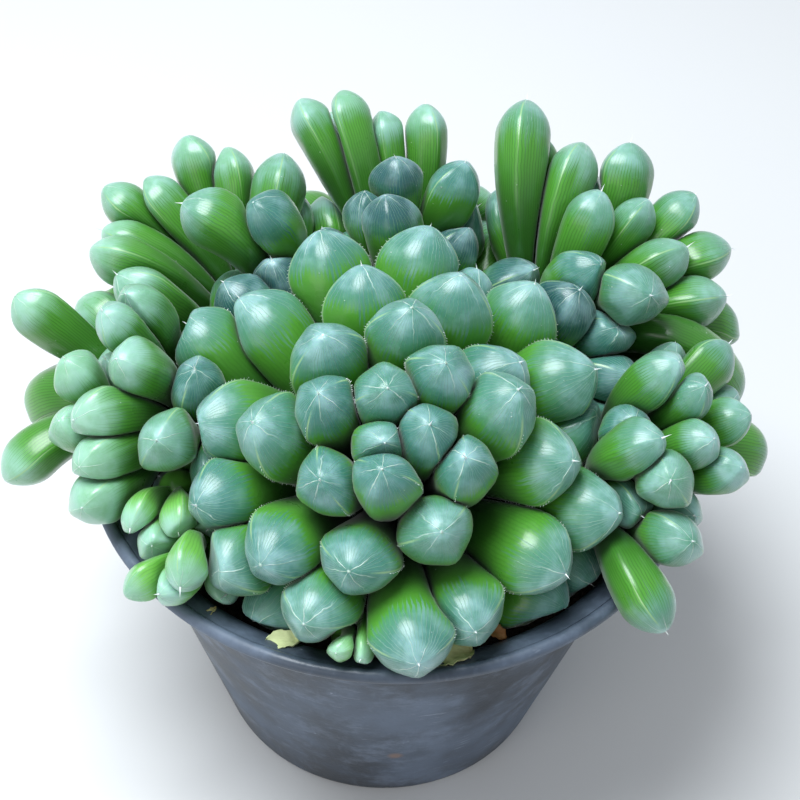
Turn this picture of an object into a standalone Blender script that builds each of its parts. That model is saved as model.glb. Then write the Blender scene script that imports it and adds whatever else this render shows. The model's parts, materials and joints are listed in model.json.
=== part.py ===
"""Potted obtusa haworthia: a squat, flared plastic pot, its soil, and the clump that fills it.

The clump is one plant made of rosettes that grew side by side.  Each rosette is one solid: a
short core on a stem, and thick club-shaped leaves fused to it.  Leaves that the reference
picture shows stand where their tips are seen; the leaves of the hidden sides follow the
golden-angle spiral wherever there is room.  Crowded leaves flatten each other, as real ones do.

Sizes are in millimetres until a mesh is made.  The origin is the centre of the pot's base.
"""

import math

import bmesh
import bpy
import numpy as np

MM = 0.001
GOLDEN_ANGLE = math.radians(137.508)

# Pot
RIM_RADIUS = 45.0
POT_HEIGHT = 57.0
BASE_RADIUS = 28.0
NECK_RADIUS = 40.0
FLARE_HEIGHT = 5.0
FLARE_ANGLE = math.radians(62)
FLARE_STEPS = 4
WALL = 1.3
FLOOR_THICKNESS = 1.6
BASE_EDGE = 1.2
POT_SIDES = 36
DRAIN_RADIUS = 2.8
DRAIN_RING_RADIUS = 17.0
DRAIN_COUNT = 5
DRAIN_SIDES = 10
CUT_PAST = 1.0

# Soil
SOIL_TOP = POT_HEIGHT - 8.0
SOIL_MOUND = 1.0
SOIL_EDGE = 0.8
SOIL_BRIM_SHARE = 0.985
SOIL_SIDES = 24
SOIL_RINGS = 6
SOIL_BUMP = 0.35
# Each wave's turns along X and along Y, in radians a millimetre, its start and its share
SOIL_WAVES = ((0.9, 0.8, 1.5, 0.5), (0.9, -0.8, 0.5, 0.5), (0.35, -0.45, 0.0, 0.6))
CLEARANCE = 0.3
FACET_SLACK = 0.35
STEM_SHARE = 0.42
STEM_DEPTH = 7.0
HOLE_RISE = 4.0

# Leaves: their form.  Shares are of the leaf's length or of its half width
MAIN_SIDES = 7
OUTER_SIDES = 6
SHAFT_STEPS = (0.0, 0.45, 0.92)
CAP_ANGLES = (32.0, 62.0)
ROOT_SHARE = 0.34
WIDEST_AT = 0.86
THICKNESS = 0.88
CORNERS = (12, 168, 270)
CORNER_RISE = 0.11
CORNER_SPREAD = 27.0
ROUNDNESS = 0.97
CAP_HEIGHT = 1.1
CAP_POINT = 0.10
CAP_POINT_POWER = 8
OUTWARD_BOW = 0.28
BEND_AT = 0.55
BALL_SHARE = 0.97
CHAIN = 9
FINE_CHAIN = 18

# Leaves: the room between them
LEAF_GAP = 0.35
NODE_GAP = 0.9
POT_GAP = 0.7
POT_FIRMNESS = 2.5
SOIL_GAP = 0.5
FUSED_SHARE = 0.36
SMALLEST_SHARE = 0.12
CLIP_STEPS = 12
BAND_ROUNDS = 12
BAND_PARTS = (0.25, 0.5, 0.75)
BAND_SHRINK = 0.93
NEAR_ENOUGH = 1.5

# Cores
CORE_SIDES = 8
CORE_ANGLES = (-50, -10, 20, 50)
CORE_FLATNESS = 0.5
CORE_RISE = 0.68
ROOT_DEPTH = 0.3
REACH_LIMIT = 1.2

# Layout: leaves bend apart over many small rounds
RELAX_ROUNDS = 160
PAIR_ROUNDS = 10
PAIR_MARGIN = 2.0
RELAX_REACH = 0.76
KIN_REACH = 0.92
STRANGER_GAP = 0.7
RELAX_RATE = 0.35
SIDEWAYS_SHARE = 0.06
HOME_PULL = 0.04
CROWDING = 0.9
SOIL_ROOM = 2.5
SOIL_CROWDING = 0.8

# Layout: where unseen leaves may stand
HIDDEN_SPACING = 0.70
HIDDEN_LEAN = 10.0
HIDDEN_SPREAD = 105.0
HIDDEN_POWER = 0.55
SHORTEST = 0.9
COVER_SHARES = (0.55, 0.8, 1.0)
COVER_DEPTH = 1.0
CLUMP_CENTRE = np.array([0.0, 0.0, POT_HEIGHT])
CLUMP_SHAPE = np.array([0.87, 1.0, 1.15])
CLUMP_DEPTH = 32.0
RIM_MARGIN = 1.0
SINK_IN_POT = 5.0
SINK_BESIDE = 9.0
LOW_SHARE = 0.82
SIZE_SPREAD = 0.06
YOUNGEST_SHARE = 0.72
GROWN_LEAN = 50.0
SEED = 7

# Colours and roughness of the plain materials
POT_LOOK = ((0.035, 0.045, 0.055), 0.5)
SOIL_LOOK = ((0.03, 0.022, 0.016), 0.95)
LEAF_LOOK = ((0.08, 0.2, 0.1), 0.35)
PUP_LOOK = ((0.09, 0.26, 0.05), 0.35)
SMOOTH_ANGLE = 60

# The reference picture's view, 800 pixels square: where it was taken from, as real sizes
VIEW_TARGET = np.array([1.2, 7.0, POT_HEIGHT])
VIEW_DISTANCE = 235.0
VIEW_ELEVATION = math.radians(45)
VIEW_ROLL = math.radians(-2.6)
VIEW_CENTRE = 400
VIEW_FOCAL = VIEW_CENTRE / math.tan(math.radians(15))
SIGHT_REACH = 50.0
SIGHT_STEPS = 800

# Leaf tips as seen in the picture, in pixels, one list for each rosette.  Under "low" are
# shorter leaves, seen deep between the others.
ROSETTES = {
    "rosette_main": {
        "base": (0.5, -10.0), "lean": (0, -33), "reach": (34.0, 34.5), "width": 6.0,
        "core": 7.8, "rise": 0.0, "count": 70, "phase": 20,
        "tips": (
            (186, 322), (240, 300), (326, 339), (363, 270), (411, 316), (388, 392), (322, 398),
            (259, 425), (190, 428), (153, 477), (323, 243), (428, 241), (477, 270),
            (457, 287), (532, 290), (443, 370), (508, 398), (583, 378), (600, 410), (428, 427),
            (463, 458), (385, 447), (382, 468), (322, 480), (206, 505), (267, 561), (350, 568),
            (440, 530), (567, 462), (557, 570), (608, 512), (470, 623), (218, 572), (311, 620),
            (248, 636), (420, 676), (567, 618), (597, 595)),
        "low": ()},
    "rosette_left": {
        "base": (-29.5, 0.5), "lean": (-48, -6), "reach": (30.0, 30.0), "width": 4.5,
        "core": 5.6, "rise": 0.0, "count": 46, "phase": 0,
        "tips": (
            (22, 300), (70, 362), (60, 420), (12, 480), (80, 470), (92, 500), (120, 362),
            (83, 420), (107, 315), (127, 300), (159, 440)),
        "low": ((195, 370), (108, 360))},
    "rosette_back_left": {
        "base": (-22.5, 20.5), "lean": (-26, 20), "reach": (32.0, 30.0), "width": 5.1,
        "core": 5.8, "rise": 0.0, "count": 46, "phase": 60,
        "tips": (
            (190, 145), (228, 155), (145, 180), (116, 198), (100, 255), (180, 206), (249, 205),
            (283, 160)),
        "low": ((218, 280), (290, 193), (267, 259))},
    "rosette_back": {
        "base": (-1.0, 26.0), "lean": (-4, 24), "reach": (34.0, 30.0), "width": 5.0,
        "core": 5.8, "rise": 0.0, "count": 46, "phase": 120,
        "tips": (
            (331, 118), (305, 110), (343, 95), (380, 115), (425, 110), (396, 165), (462, 170),
            (385, 198)),
        "low": ((323, 226), (468, 228), (477, 205))},
    "rosette_back_right": {
        "base": (22.5, 18.5), "lean": (24, 18), "reach": (33.0, 31.0), "width": 5.3,
        "core": 5.8, "rise": 0.0, "count": 48, "phase": 200,
        "tips": (
            (527, 110), (524, 144), (583, 150), (627, 155), (587, 175), (600, 195), (645, 205),
            (690, 200), (685, 250), (712, 255), (715, 300), (641, 300), (577, 292)),
        "low": ((500, 205), (617, 328), (623, 378))},
    "rosette_right": {
        "base": (29.0, -5.5), "lean": (46, -8), "reach": (29.5, 28.5), "width": 4.6,
        "core": 5.6, "rise": 0.0, "count": 46, "phase": 280,
        "tips": (
            (722, 350), (700, 390), (675, 367), (748, 415), (735, 468), (710, 440), (665, 480),
            (658, 440), (685, 538), (660, 625)),
        "low": ((670, 350), (630, 425), (638, 517), (690, 515))},
    "pup_upper": {
        "base": (-30.5, -15.5), "lean": (-45, -30), "reach": (13.5, 13.0), "width": 3.4,
        "core": 3.0, "rise": 7.0, "count": 0, "phase": 40,
        "tips": ((134, 528), (152, 545), (178, 535), (200, 535)),
        "low": ()},
    "pup_lower": {
        "base": (-27.0, -22.5), "lean": (-45, -38), "reach": (14.5, 14.0), "width": 3.6,
        "core": 3.0, "rise": 4.5, "count": 0, "phase": 80,
        "tips": ((137, 588), (158, 592), (180, 588), (218, 605)),
        "low": ()},
    "pup_front": {
        "base": (-6.0, -33.5), "lean": (0, -40), "reach": (10.5, 10.0), "width": 2.6,
        "core": 2.6, "rise": 2.0, "count": 0, "phase": 0,
        "tips": ((333, 657), (355, 672)),
        "low": ()},
}


def unit(vector):
    """Returns a vector, or each row of vectors, at length one."""
    vector = np.asarray(vector, float)
    return vector / np.maximum(np.linalg.norm(vector, axis=-1, keepdims=True), 1e-9)


def view_axes():
    """Returns the picture's eye point, its forward, right and up axes."""
    back = np.array([0.0, -math.cos(VIEW_ELEVATION), math.sin(VIEW_ELEVATION)])
    flat_right = np.array([1.0, 0.0, 0.0])
    flat_up = np.cross(flat_right, -back)
    right = flat_right * math.cos(VIEW_ROLL) - flat_up * math.sin(VIEW_ROLL)
    up = flat_right * math.sin(VIEW_ROLL) + flat_up * math.cos(VIEW_ROLL)
    return VIEW_TARGET + back * VIEW_DISTANCE, -back, right, up


def sight_line(pixel):
    """Returns the direction in which the eye point sees a pixel."""
    _, forward, right, up = view_axes()
    across = (pixel[0] - VIEW_CENTRE) / VIEW_FOCAL
    upward = (VIEW_CENTRE - pixel[1]) / VIEW_FOCAL
    return unit(forward + right * across + up * upward)


def rosette_axis(spec):
    """Returns the direction in which a rosette's heart points."""
    lean_x, lean_y = (math.sin(math.radians(angle)) for angle in spec["lean"])
    return np.array([lean_x, lean_y, math.sqrt(1.0 - lean_x ** 2 - lean_y ** 2)])


def rosette_base(spec):
    """Returns the centre of a rosette's core, which stands on its stem above the soil."""
    height = SOIL_TOP + SOIL_MOUND + spec["core"] * CORE_RISE + spec["rise"]
    return np.array([*spec["base"], height])


def reach_at(spec, directions):
    """Returns how far from the core the leaf tips lie, in the given directions."""
    cosine = np.clip(directions @ rosette_axis(spec), -1.0, 1.0)
    share = np.minimum(np.arccos(cosine) / math.radians(90), REACH_LIMIT)
    inner, outer = spec["reach"]
    return inner + (outer - inner) * share


def tip_in_space(spec, pixel, shorten):
    """Returns where the line of sight through a pixel first meets the dome of a rosette's tips.

    Where it passes beside the dome, its nearest point to the dome is taken.
    """
    eye = view_axes()[0]
    direction = sight_line(pixel)
    base = rosette_base(spec)
    middle = (base - eye) @ direction
    along = np.linspace(middle - SIGHT_REACH, middle + SIGHT_REACH, SIGHT_STEPS)
    points = eye + along[:, None] * direction
    offsets = points - base
    beyond = np.linalg.norm(offsets, axis=1) - shorten * reach_at(spec, unit(offsets))
    inside = np.flatnonzero(beyond <= 0.0)
    return points[inside[0]] if len(inside) else points[np.argmin(beyond)]


def make_leaf(spec, name, tip, width, sight):
    """Returns a leaf's plan: its root, bend and tip, its half width, and how its tip may move."""
    base = rosette_base(spec)
    axis = rosette_axis(spec)
    chord = tip - base
    length = np.linalg.norm(chord)
    direction = chord / length
    outward = direction - (direction @ axis) * axis
    bow = outward * OUTWARD_BOW
    return {"rosette": name, "root": base + direction * spec["core"] * ROOT_DEPTH,
            "bend": base + unit(direction + bow) * length * BEND_AT, "tip": tip.copy(),
            "width": width, "sight": sight, "axis": axis, "home": tip.copy()}


def leaf_width(spec, tip, random):
    """Returns a leaf's half width: the young leaves near the heart are slimmer."""
    cosine = unit(tip - rosette_base(spec)) @ rosette_axis(spec)
    age = min(math.acos(min(cosine, 1.0)) / math.radians(GROWN_LEAN), 1.0)
    share = YOUNGEST_SHARE + (1.0 - YOUNGEST_SHARE) * age
    return spec["width"] * share * (1.0 + random.uniform(-SIZE_SPREAD, SIZE_SPREAD))


def seen_leaves(name, spec, random):
    """Plans the leaves whose tips the picture shows."""
    leaves = []
    for group, shorten in (("tips", 1.0), ("low", LOW_SHARE)):
        for pixel in spec[group]:
            tip = tip_in_space(spec, pixel, shorten)
            width = leaf_width(spec, tip, random)
            leaves.append(make_leaf(spec, name, tip, width, sight_line(pixel)))
    return leaves


def is_covered(tip, leaves):
    """Tells whether planned leaves stand between a tip and the picture's eye point."""
    eye = view_axes()[0]
    ray = unit(tip - eye)
    for leaf in leaves:
        for share in COVER_SHARES:
            spot = leaf["root"] + (leaf["tip"] - leaf["root"]) * share
            depth = (spot - eye) @ ray
            beside = np.linalg.norm(spot - eye - ray * depth)
            if beside < leaf["width"] * CROWDING and depth < (tip - eye) @ ray - COVER_DEPTH:
                return True
    return False


def stands_free(tip, width):
    """Tells whether a tip is near the clump's outside and not too low for where it stands."""
    if np.linalg.norm((tip - CLUMP_CENTRE) * CLUMP_SHAPE) < CLUMP_DEPTH:
        return False
    if math.hypot(tip[0], tip[1]) < RIM_RADIUS + width + RIM_MARGIN:
        return tip[2] > POT_HEIGHT + width * CROWDING - SINK_IN_POT
    return tip[2] > POT_HEIGHT - SINK_BESIDE


def hidden_leaves(name, spec, planned, random):
    """Plans a rosette's unseen leaves on the golden-angle spiral, wherever there is room."""
    axis = rosette_axis(spec)
    base = rosette_base(spec)
    across = unit(np.cross([0.0, 1.0, 0.0], axis))
    forward = np.cross(axis, across)
    leaves = []
    for step in range(spec["count"]):
        share = (step + 0.5) / spec["count"]
        lean = math.radians(HIDDEN_LEAN + HIDDEN_SPREAD * share ** HIDDEN_POWER)
        turn = math.radians(spec["phase"]) + step * GOLDEN_ANGLE
        radial = math.cos(turn) * across + math.sin(turn) * forward
        direction = math.cos(lean) * axis + math.sin(lean) * radial
        tip = base + direction * reach_at(spec, direction) * random.uniform(SHORTEST, 1.0)
        width = leaf_width(spec, tip, random)
        others = planned + leaves
        room = min(np.linalg.norm(other["tip"] - tip) / (other["width"] + width)
                   for other in others)
        if room > HIDDEN_SPACING and stands_free(tip, width) and is_covered(tip, planned):
            leaves.append(make_leaf(spec, name, tip, width, None))
    return leaves


def curve_points(leaf, shares):
    """Returns points on a leaf's middle line, a curve from its root past its bend to its tip."""
    shares = np.asarray(shares, float)[:, None]
    return ((1 - shares) ** 2 * leaf["root"] + 2 * shares * (1 - shares) * leaf["bend"]
            + shares ** 2 * leaf["tip"])


def curve_headings(leaf, shares):
    """Returns the middle line's direction at each share of its length."""
    shares = np.asarray(shares, float)[:, None]
    first = leaf["bend"] - leaf["root"]
    second = leaf["tip"] - leaf["bend"]
    return unit((1 - shares) * first + shares * second)


def club_width(leaf, shares):
    """Returns a leaf's half width along it: slim at its root and widest near its tip."""
    shares = np.clip(np.asarray(shares, float) / WIDEST_AT, 0.0, 1.0)
    swell = shares * shares * (3 - 2 * shares)
    return leaf["width"] * (ROOT_SHARE + (1 - ROOT_SHARE) * swell)


def cap_start(leaf):
    """Returns the share of the middle line at which the rounded tip begins."""
    length = np.linalg.norm(leaf["tip"] - leaf["root"])
    return 1.0 - CAP_HEIGHT * leaf["width"] / length


def chain_of(leaf, count):
    """Returns a row of balls that fills a leaf: their centres and their half widths."""
    shares = np.linspace(0.0, cap_start(leaf), count)
    return curve_points(leaf, shares), club_width(leaf, shares) * BALL_SHARE


def pot_profile():
    """Returns points on the middle of the pot's wall, as distances from its axis and heights."""
    points = [(BASE_RADIUS, 0.0), (NECK_RADIUS, POT_HEIGHT - FLARE_HEIGHT)]
    for step in range(1, FLARE_STEPS + 1):
        angle = FLARE_ANGLE * step / FLARE_STEPS
        out = (1 - math.cos(angle)) / (1 - math.cos(FLARE_ANGLE))
        rise = math.sin(angle) / math.sin(FLARE_ANGLE)
        points.append((NECK_RADIUS + (RIM_RADIUS - NECK_RADIUS) * out,
                       POT_HEIGHT - FLARE_HEIGHT + FLARE_HEIGHT * rise))
    return np.array(points)


def wall_clearance(points):
    """Returns each point's distance from the pot's wall and the direction away from it."""
    flat = np.stack([np.hypot(points[:, 0], points[:, 1]), points[:, 2]], axis=1)
    profile = pot_profile()
    best = np.full(len(points), 1e9)
    away = np.zeros((len(points), 2))
    for start, end in zip(profile[:-1], profile[1:]):
        run = end - start
        share = np.clip((flat - start) @ run / (run @ run), 0.0, 1.0)
        offset = flat - (start + share[:, None] * run)
        distance = np.linalg.norm(offset, axis=1)
        closer = distance < best
        best[closer] = distance[closer]
        away[closer] = unit(offset[closer])
    radial = np.zeros_like(points)
    radial[:, :2] = unit(points[:, :2])
    direction = radial * away[:, :1]
    direction[:, 2] = away[:, 1]
    return best - WALL, direction


def close_pairs(centres, radii, owner):
    """Returns the pairs of balls of different leaves that are near enough to touch soon."""
    first, second = np.triu_indices(len(centres), 1)
    apart = owner[first] != owner[second]
    first, second = first[apart], second[apart]
    distance = np.linalg.norm(centres[first] - centres[second], axis=1)
    near = distance < radii[first] + radii[second] + PAIR_MARGIN
    return first[near], second[near]


def pair_push(centres, radii, names, pairs):
    """Returns the push on each ball from the balls that crowd it."""
    first, second = pairs
    gaps = centres[first] - centres[second]
    distance = np.linalg.norm(gaps, axis=1) + 1e-9
    reach = RELAX_REACH * (radii[first] + radii[second])
    reach = np.where(names[first] == names[second], reach * KIN_REACH, reach + STRANGER_GAP)
    step = gaps * (0.5 * np.maximum(reach - distance, 0.0) / distance)[:, None]
    push = np.zeros_like(centres)
    np.add.at(push, first, step)
    np.add.at(push, second, -step)
    return push


def fixed_push(centres, radii, names):
    """Returns the push on each ball from the other rosettes' cores, the pot and the soil."""
    push = np.zeros_like(centres)
    for name, spec in ROSETTES.items():
        offset = centres - rosette_base(spec)
        apart = np.linalg.norm(offset, axis=1)
        deep = np.where(names == name, 0.0, spec["core"] + radii * CROWDING - apart)
        push += offset * (np.maximum(deep, 0.0) / apart)[:, None]
    lift = lip_lift(centres, radii)
    push[:, 2] += lift * POT_FIRMNESS
    clear, direction = wall_clearance(centres)
    pressed = np.maximum(radii + POT_GAP - clear, 0.0) * (lift <= 0.0) * POT_FIRMNESS
    push += direction * pressed[:, None]
    low = np.maximum(SOIL_TOP + SOIL_ROOM + radii * SOIL_CROWDING - centres[:, 2], 0.0)
    push[:, 2] += low * (np.hypot(centres[:, 0], centres[:, 1]) < RIM_RADIUS)
    return push


def lip_lift(centres, radii):
    """Returns how far each ball has to rise to pass over the pot's flared lip."""
    distance = np.hypot(centres[:, 0], centres[:, 1])
    room = radii + POT_GAP
    beyond = np.maximum(distance - RIM_RADIUS, 0.0)
    flare = np.clip((distance + 0.5 * room - NECK_RADIUS) / (RIM_RADIUS - NECK_RADIUS), 0.0, 1.0)
    crest = POT_HEIGHT - FLARE_HEIGHT * (1.0 - flare)
    rise = crest + np.sqrt(np.maximum(room ** 2 - beyond ** 2, 0.0)) - centres[:, 2]
    at_lip = (distance > NECK_RADIUS - 0.5 * room) & (beyond < room)
    return np.maximum(rise, 0.0) * at_lip


def relax(leaves):
    """Bends crowded leaves apart, moving tips seen in the picture mostly along their sight lines."""
    shares = np.linspace(0.0, 1.0, CHAIN)
    owner = np.repeat(np.arange(len(leaves)), CHAIN)
    to_bend = (2 * shares * (1 - shares))[:, None]
    to_tip = (shares ** 2)[:, None]
    names = np.array([leaf["rosette"] for leaf in leaves])[owner]
    pairs = None
    for turn in range(RELAX_ROUNDS):
        chains = [chain_of(leaf, CHAIN) for leaf in leaves]
        centres = np.concatenate([chain[0] for chain in chains])
        radii = np.concatenate([chain[1] for chain in chains])
        if turn % PAIR_ROUNDS == 0:
            pairs = close_pairs(centres, radii, owner)
        push = pair_push(centres, radii, names, pairs) + fixed_push(centres, radii, names)
        for leaf, own in zip(leaves, push.reshape(len(leaves), CHAIN, 3)):
            tip_push = (own * to_tip).sum(axis=0)
            if leaf["sight"] is not None:
                along = (tip_push @ leaf["sight"]) * leaf["sight"]
                tip_push = along + (tip_push - along) * SIDEWAYS_SHARE
            leaf["bend"] += RELAX_RATE * (own * to_bend).sum(axis=0)
            leaf["tip"] += RELAX_RATE * tip_push + HOME_PULL * (leaf["home"] - leaf["tip"])


def plan_leaves():
    """Plans every leaf of the clump, seen and hidden, and settles them beside each other."""
    random = np.random.default_rng(SEED)
    leaves = []
    for name, spec in ROSETTES.items():
        leaves += seen_leaves(name, spec, random)
    for name, spec in ROSETTES.items():
        leaves += hidden_leaves(name, spec, leaves, random)
    relax(leaves)
    for leaf in leaves:
        leaf["balls"] = chain_of(leaf, FINE_CHAIN)
    return leaves


def leaf_frame(leaf, shares):
    """Returns the heading, sideways and upward directions at shares of a leaf's middle line."""
    heading = curve_headings(leaf, shares)
    across = unit(np.cross(leaf["axis"], leaf["tip"] - leaf["root"]))
    upward = unit(np.cross(heading, across))
    return heading, np.cross(upward, heading), upward


def section(angles):
    """Returns a leaf's cross-section as sideways and upward sizes, with edges and a keel below."""
    radius = np.full(len(angles), ROUNDNESS)
    for corner in CORNERS:
        away = (np.degrees(angles) - corner + 180.0) % 360.0 - 180.0
        radius += CORNER_RISE * np.exp(-(away / CORNER_SPREAD) ** 2)
    return radius * np.cos(angles), radius * np.sin(angles) * THICKNESS


def leaf_rays(leaf, shaft_steps, cap_angles, sides):
    """Returns the rings of a leaf as pairs of centre and offset: the shaft's, then the cap's."""
    last = cap_start(leaf)
    shares = np.append(np.asarray(shaft_steps) * last, last)
    centres = curve_points(leaf, shares)
    heading, sideways, upward = leaf_frame(leaf, shares)
    widths = club_width(leaf, shares)
    across, up = section(np.arange(sides) * 2 * math.pi / sides)
    outlines = (sideways[:, None, :] * across[None, :, None]
                + upward[:, None, :] * up[None, :, None])
    rings = [(np.repeat(centre[None], sides, axis=0), outline * width)
             for centre, outline, width in zip(centres[:-1], outlines, widths)]
    rim = outlines[-1] * widths[-1]
    height = leaf["width"] * CAP_HEIGHT
    for angle in np.radians(cap_angles):
        point = 1.0 + CAP_POINT * math.sin(angle) ** CAP_POINT_POWER
        offset = rim * math.cos(angle) + heading[-1] * height * math.sin(angle) * point
        rings.append((np.repeat(centres[-1][None], sides, axis=0), offset))
    apex = heading[-1] * height * (1.0 + CAP_POINT)
    rings.append((centres[-1][None], apex[None]))
    return rings


def ball_distance(points, balls):
    """Returns each point's distance from the surface of a row of balls, negative inside."""
    centres, radii = balls
    squared = ((points ** 2).sum(axis=1)[:, None] - 2.0 * points @ centres.T
               + (centres ** 2).sum(axis=1)[None, :])
    return (np.sqrt(np.maximum(squared, 0.0)) - radii[None, :]).min(axis=1)


def soil_height(x, y):
    """Returns the height of the soil's uneven top, which is slightly mounded."""
    mound = SOIL_MOUND * (1.0 - (np.hypot(x, y) / NECK_RADIUS) ** 2)
    bumps = sum(share * np.sin(x * along_x + y * along_y + start)
                for along_x, along_y, start, share in SOIL_WAVES)
    return SOIL_TOP + mound + SOIL_BUMP * bumps


def core_clearance(points, spec):
    """Returns each point's distance from a rosette's core, or from the stem below it."""
    offset = points - rosette_base(spec)
    from_core = np.linalg.norm(offset, axis=1) - spec["core"]
    from_stem = np.hypot(offset[:, 0], offset[:, 1]) - spec["core"] * STEM_SHARE
    return np.where(offset[:, 2] < 0.0, np.minimum(from_core, from_stem), from_core)


def is_clear(points, leaf, near):
    """Tells which points keep clear of other rosettes, the pot and the soil."""
    own = ball_distance(points, leaf["balls"])
    good = wall_clearance(points)[0] > POT_GAP
    over_soil = points[:, 2] > soil_height(points[:, 0], points[:, 1]) + SOIL_GAP
    good &= over_soil | (np.hypot(points[:, 0], points[:, 1]) > RIM_RADIUS)
    for other in near:
        if other["rosette"] != leaf["rosette"]:
            good &= own + NODE_GAP < ball_distance(points, other["balls"])
    for name, spec in ROSETTES.items():
        if name != leaf["rosette"]:
            good &= core_clearance(points, spec) > NODE_GAP
    return good


def is_apart(points, leaf, near):
    """Tells which points keep clear of the other leaves of the same rosette."""
    own = ball_distance(points, leaf["balls"])
    good = np.ones(len(points), bool)
    for other in near:
        if other["rosette"] == leaf["rosette"]:
            good &= own + LEAF_GAP < ball_distance(points, other["balls"])
    return good


def largest_share(test, centres, offsets, leaf, near, least):
    """Returns how far along each offset a leaf's surface may reach, by halving the interval."""
    low = np.full(len(centres), least)
    high = np.ones(len(centres))
    low[test(centres + offsets, leaf, near)] = 1.0
    for _ in range(CLIP_STEPS):
        middle = (low + high) / 2
        good = test(centres + offsets * middle[:, None], leaf, near)
        low = np.where(good, np.maximum(low, middle), low)
        high = np.where(good, high, np.minimum(high, middle))
    return low


def clear_bands(leaf, near, centres, offsets, share, sides):
    """Draws in the rings wherever the straight edges between them would touch a neighbour."""
    count = len(centres) // sides
    share = share.copy()
    for _ in range(BAND_ROUNDS):
        points = centres + offsets * share[:, None]
        rings = points[:count * sides].reshape(count, sides, 3)
        touching = np.zeros((count - 1, sides), bool)
        for part in BAND_PARTS:
            across = rings[:-1] * (1 - part) + rings[1:] * part
            clear = is_clear(across.reshape(-1, 3), leaf, near).reshape(count - 1, sides)
            touching |= ~clear
            turned = (across + np.roll(rings[:-1], -1, axis=1)) / 2
            clear = is_clear(turned.reshape(-1, 3), leaf, near).reshape(count - 1, sides)
            touching |= ~clear
        if not touching.any():
            break
        factor = np.ones((count, sides))
        factor[:-1][touching] = BAND_SHRINK
        factor[1:][touching] = BAND_SHRINK
        share[:count * sides] = np.maximum(share[:count * sides] * factor.ravel(), SMALLEST_SHARE)
    return share


def near_leaves(leaf, leaves):
    """Returns the leaves that come close enough to press against this one."""
    centres, radii = leaf["balls"]
    near = []
    for other in leaves:
        if other is not leaf:
            distance = ball_distance(centres, other["balls"]) - radii
            if distance.min() < NEAR_ENOUGH:
                near.append(other)
    return near


def leaf_rings(leaf, leaves, shaft_steps, cap_angles, sides):
    """Returns a leaf's rings of points, flattened where its neighbours press on it."""
    near = near_leaves(leaf, leaves)
    rays = leaf_rays(leaf, shaft_steps, cap_angles, sides)
    centres = np.concatenate([centre for centre, _ in rays])
    offsets = np.concatenate([offset for _, offset in rays])
    share = largest_share(is_apart, centres, offsets, leaf, near, FUSED_SHARE)
    share = np.minimum(share, largest_share(is_clear, centres, offsets, leaf, near,
                                            SMALLEST_SHARE))
    share = clear_bands(leaf, near, centres, offsets, share, sides)
    points = centres + offsets * share[:, None]
    counts = np.cumsum([len(centre) for centre, _ in rays])[:-1]
    return np.split(points, counts)


def ring_faces(rings):
    """Returns the faces of a closed form: an end face, bands between rings, and a pointed end."""
    sides = len(rings[0])
    faces = [tuple(reversed(range(sides)))]
    for band in range(len(rings) - 2):
        start = band * sides
        for side in range(sides):
            after = (side + 1) % sides
            faces.append((start + side, start + after, start + sides + after,
                          start + sides + side))
    start = (len(rings) - 2) * sides
    faces += [(start + side, start + (side + 1) % sides, start + sides) for side in range(sides)]
    return faces


def make_object(name, points, faces):
    """Makes an object from points in millimetres, with its faces pointing outwards."""
    mesh = bpy.data.meshes.new(name)
    mesh.from_pydata([tuple(point * MM) for point in np.asarray(points)], [], faces)
    shape = bmesh.new()
    shape.from_mesh(mesh)
    bmesh.ops.recalc_face_normals(shape, faces=shape.faces)
    shape.to_mesh(mesh)
    shape.free()
    made = bpy.data.objects.new(name, mesh)
    bpy.context.scene.collection.objects.link(made)
    return made


def lathe(name, profile, sides, centre=(0.0, 0.0)):
    """Makes a solid by turning a profile of distances and heights about an upright axis.

    A profile that starts and ends on the axis makes a solid body.
    """
    points = []
    rings = []
    for distance, height in profile:
        count = 1 if distance == 0.0 else sides
        rings.append(range(len(points), len(points) + count))
        for side in range(count):
            angle = side * 2 * math.pi / sides
            points.append((centre[0] + distance * math.cos(angle),
                           centre[1] + distance * math.sin(angle), height))
    faces = []
    for lower, upper in zip(rings[:-1], rings[1:]):
        for side in range(sides):
            after = (side + 1) % sides
            corners = [lower[side % len(lower)], lower[after % len(lower)],
                       upper[after % len(upper)], upper[side % len(upper)]]
            faces.append(tuple(dict.fromkeys(corners)))
    return make_object(name, np.array(points), faces)


def combine(base, parts, operation):
    """Joins parts to a base, or cuts them from it, by one Boolean, and removes the parts."""
    group = bpy.data.collections.new(base.name + "_parts")
    bpy.context.scene.collection.children.link(group)
    for part in parts:
        bpy.context.scene.collection.objects.unlink(part)
        group.objects.link(part)
    modifier = base.modifiers.new("Combine", "BOOLEAN")
    modifier.operation = operation
    modifier.operand_type = "COLLECTION"
    modifier.collection = group
    modifier.solver = "EXACT"
    bpy.context.view_layer.update()
    evaluated = base.evaluated_get(bpy.context.evaluated_depsgraph_get())
    mesh = bpy.data.meshes.new_from_object(evaluated)
    base.modifiers.clear()
    base.data = mesh
    for part in list(group.objects):
        bpy.data.objects.remove(part)
    bpy.data.collections.remove(group)


def face_groups(shape):
    """Returns the faces of a mesh as groups that hang together."""
    unseen = set(shape.faces)
    groups = []
    while unseen:
        group = [unseen.pop()]
        for face in group:
            for edge in face.edges:
                beside = [other for other in edge.link_faces if other in unseen]
                unseen.difference_update(beside)
                group.extend(beside)
        groups.append(group)
    return groups


def enclosed_volume(faces):
    """Returns the volume inside faces, negative where they face inwards."""
    total = 0.0
    for face in faces:
        first, *others = (vertex.co for vertex in face.verts)
        for second, third in zip(others[:-1], others[1:]):
            total += first.dot(second.cross(third)) / 6.0
    return total


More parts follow.
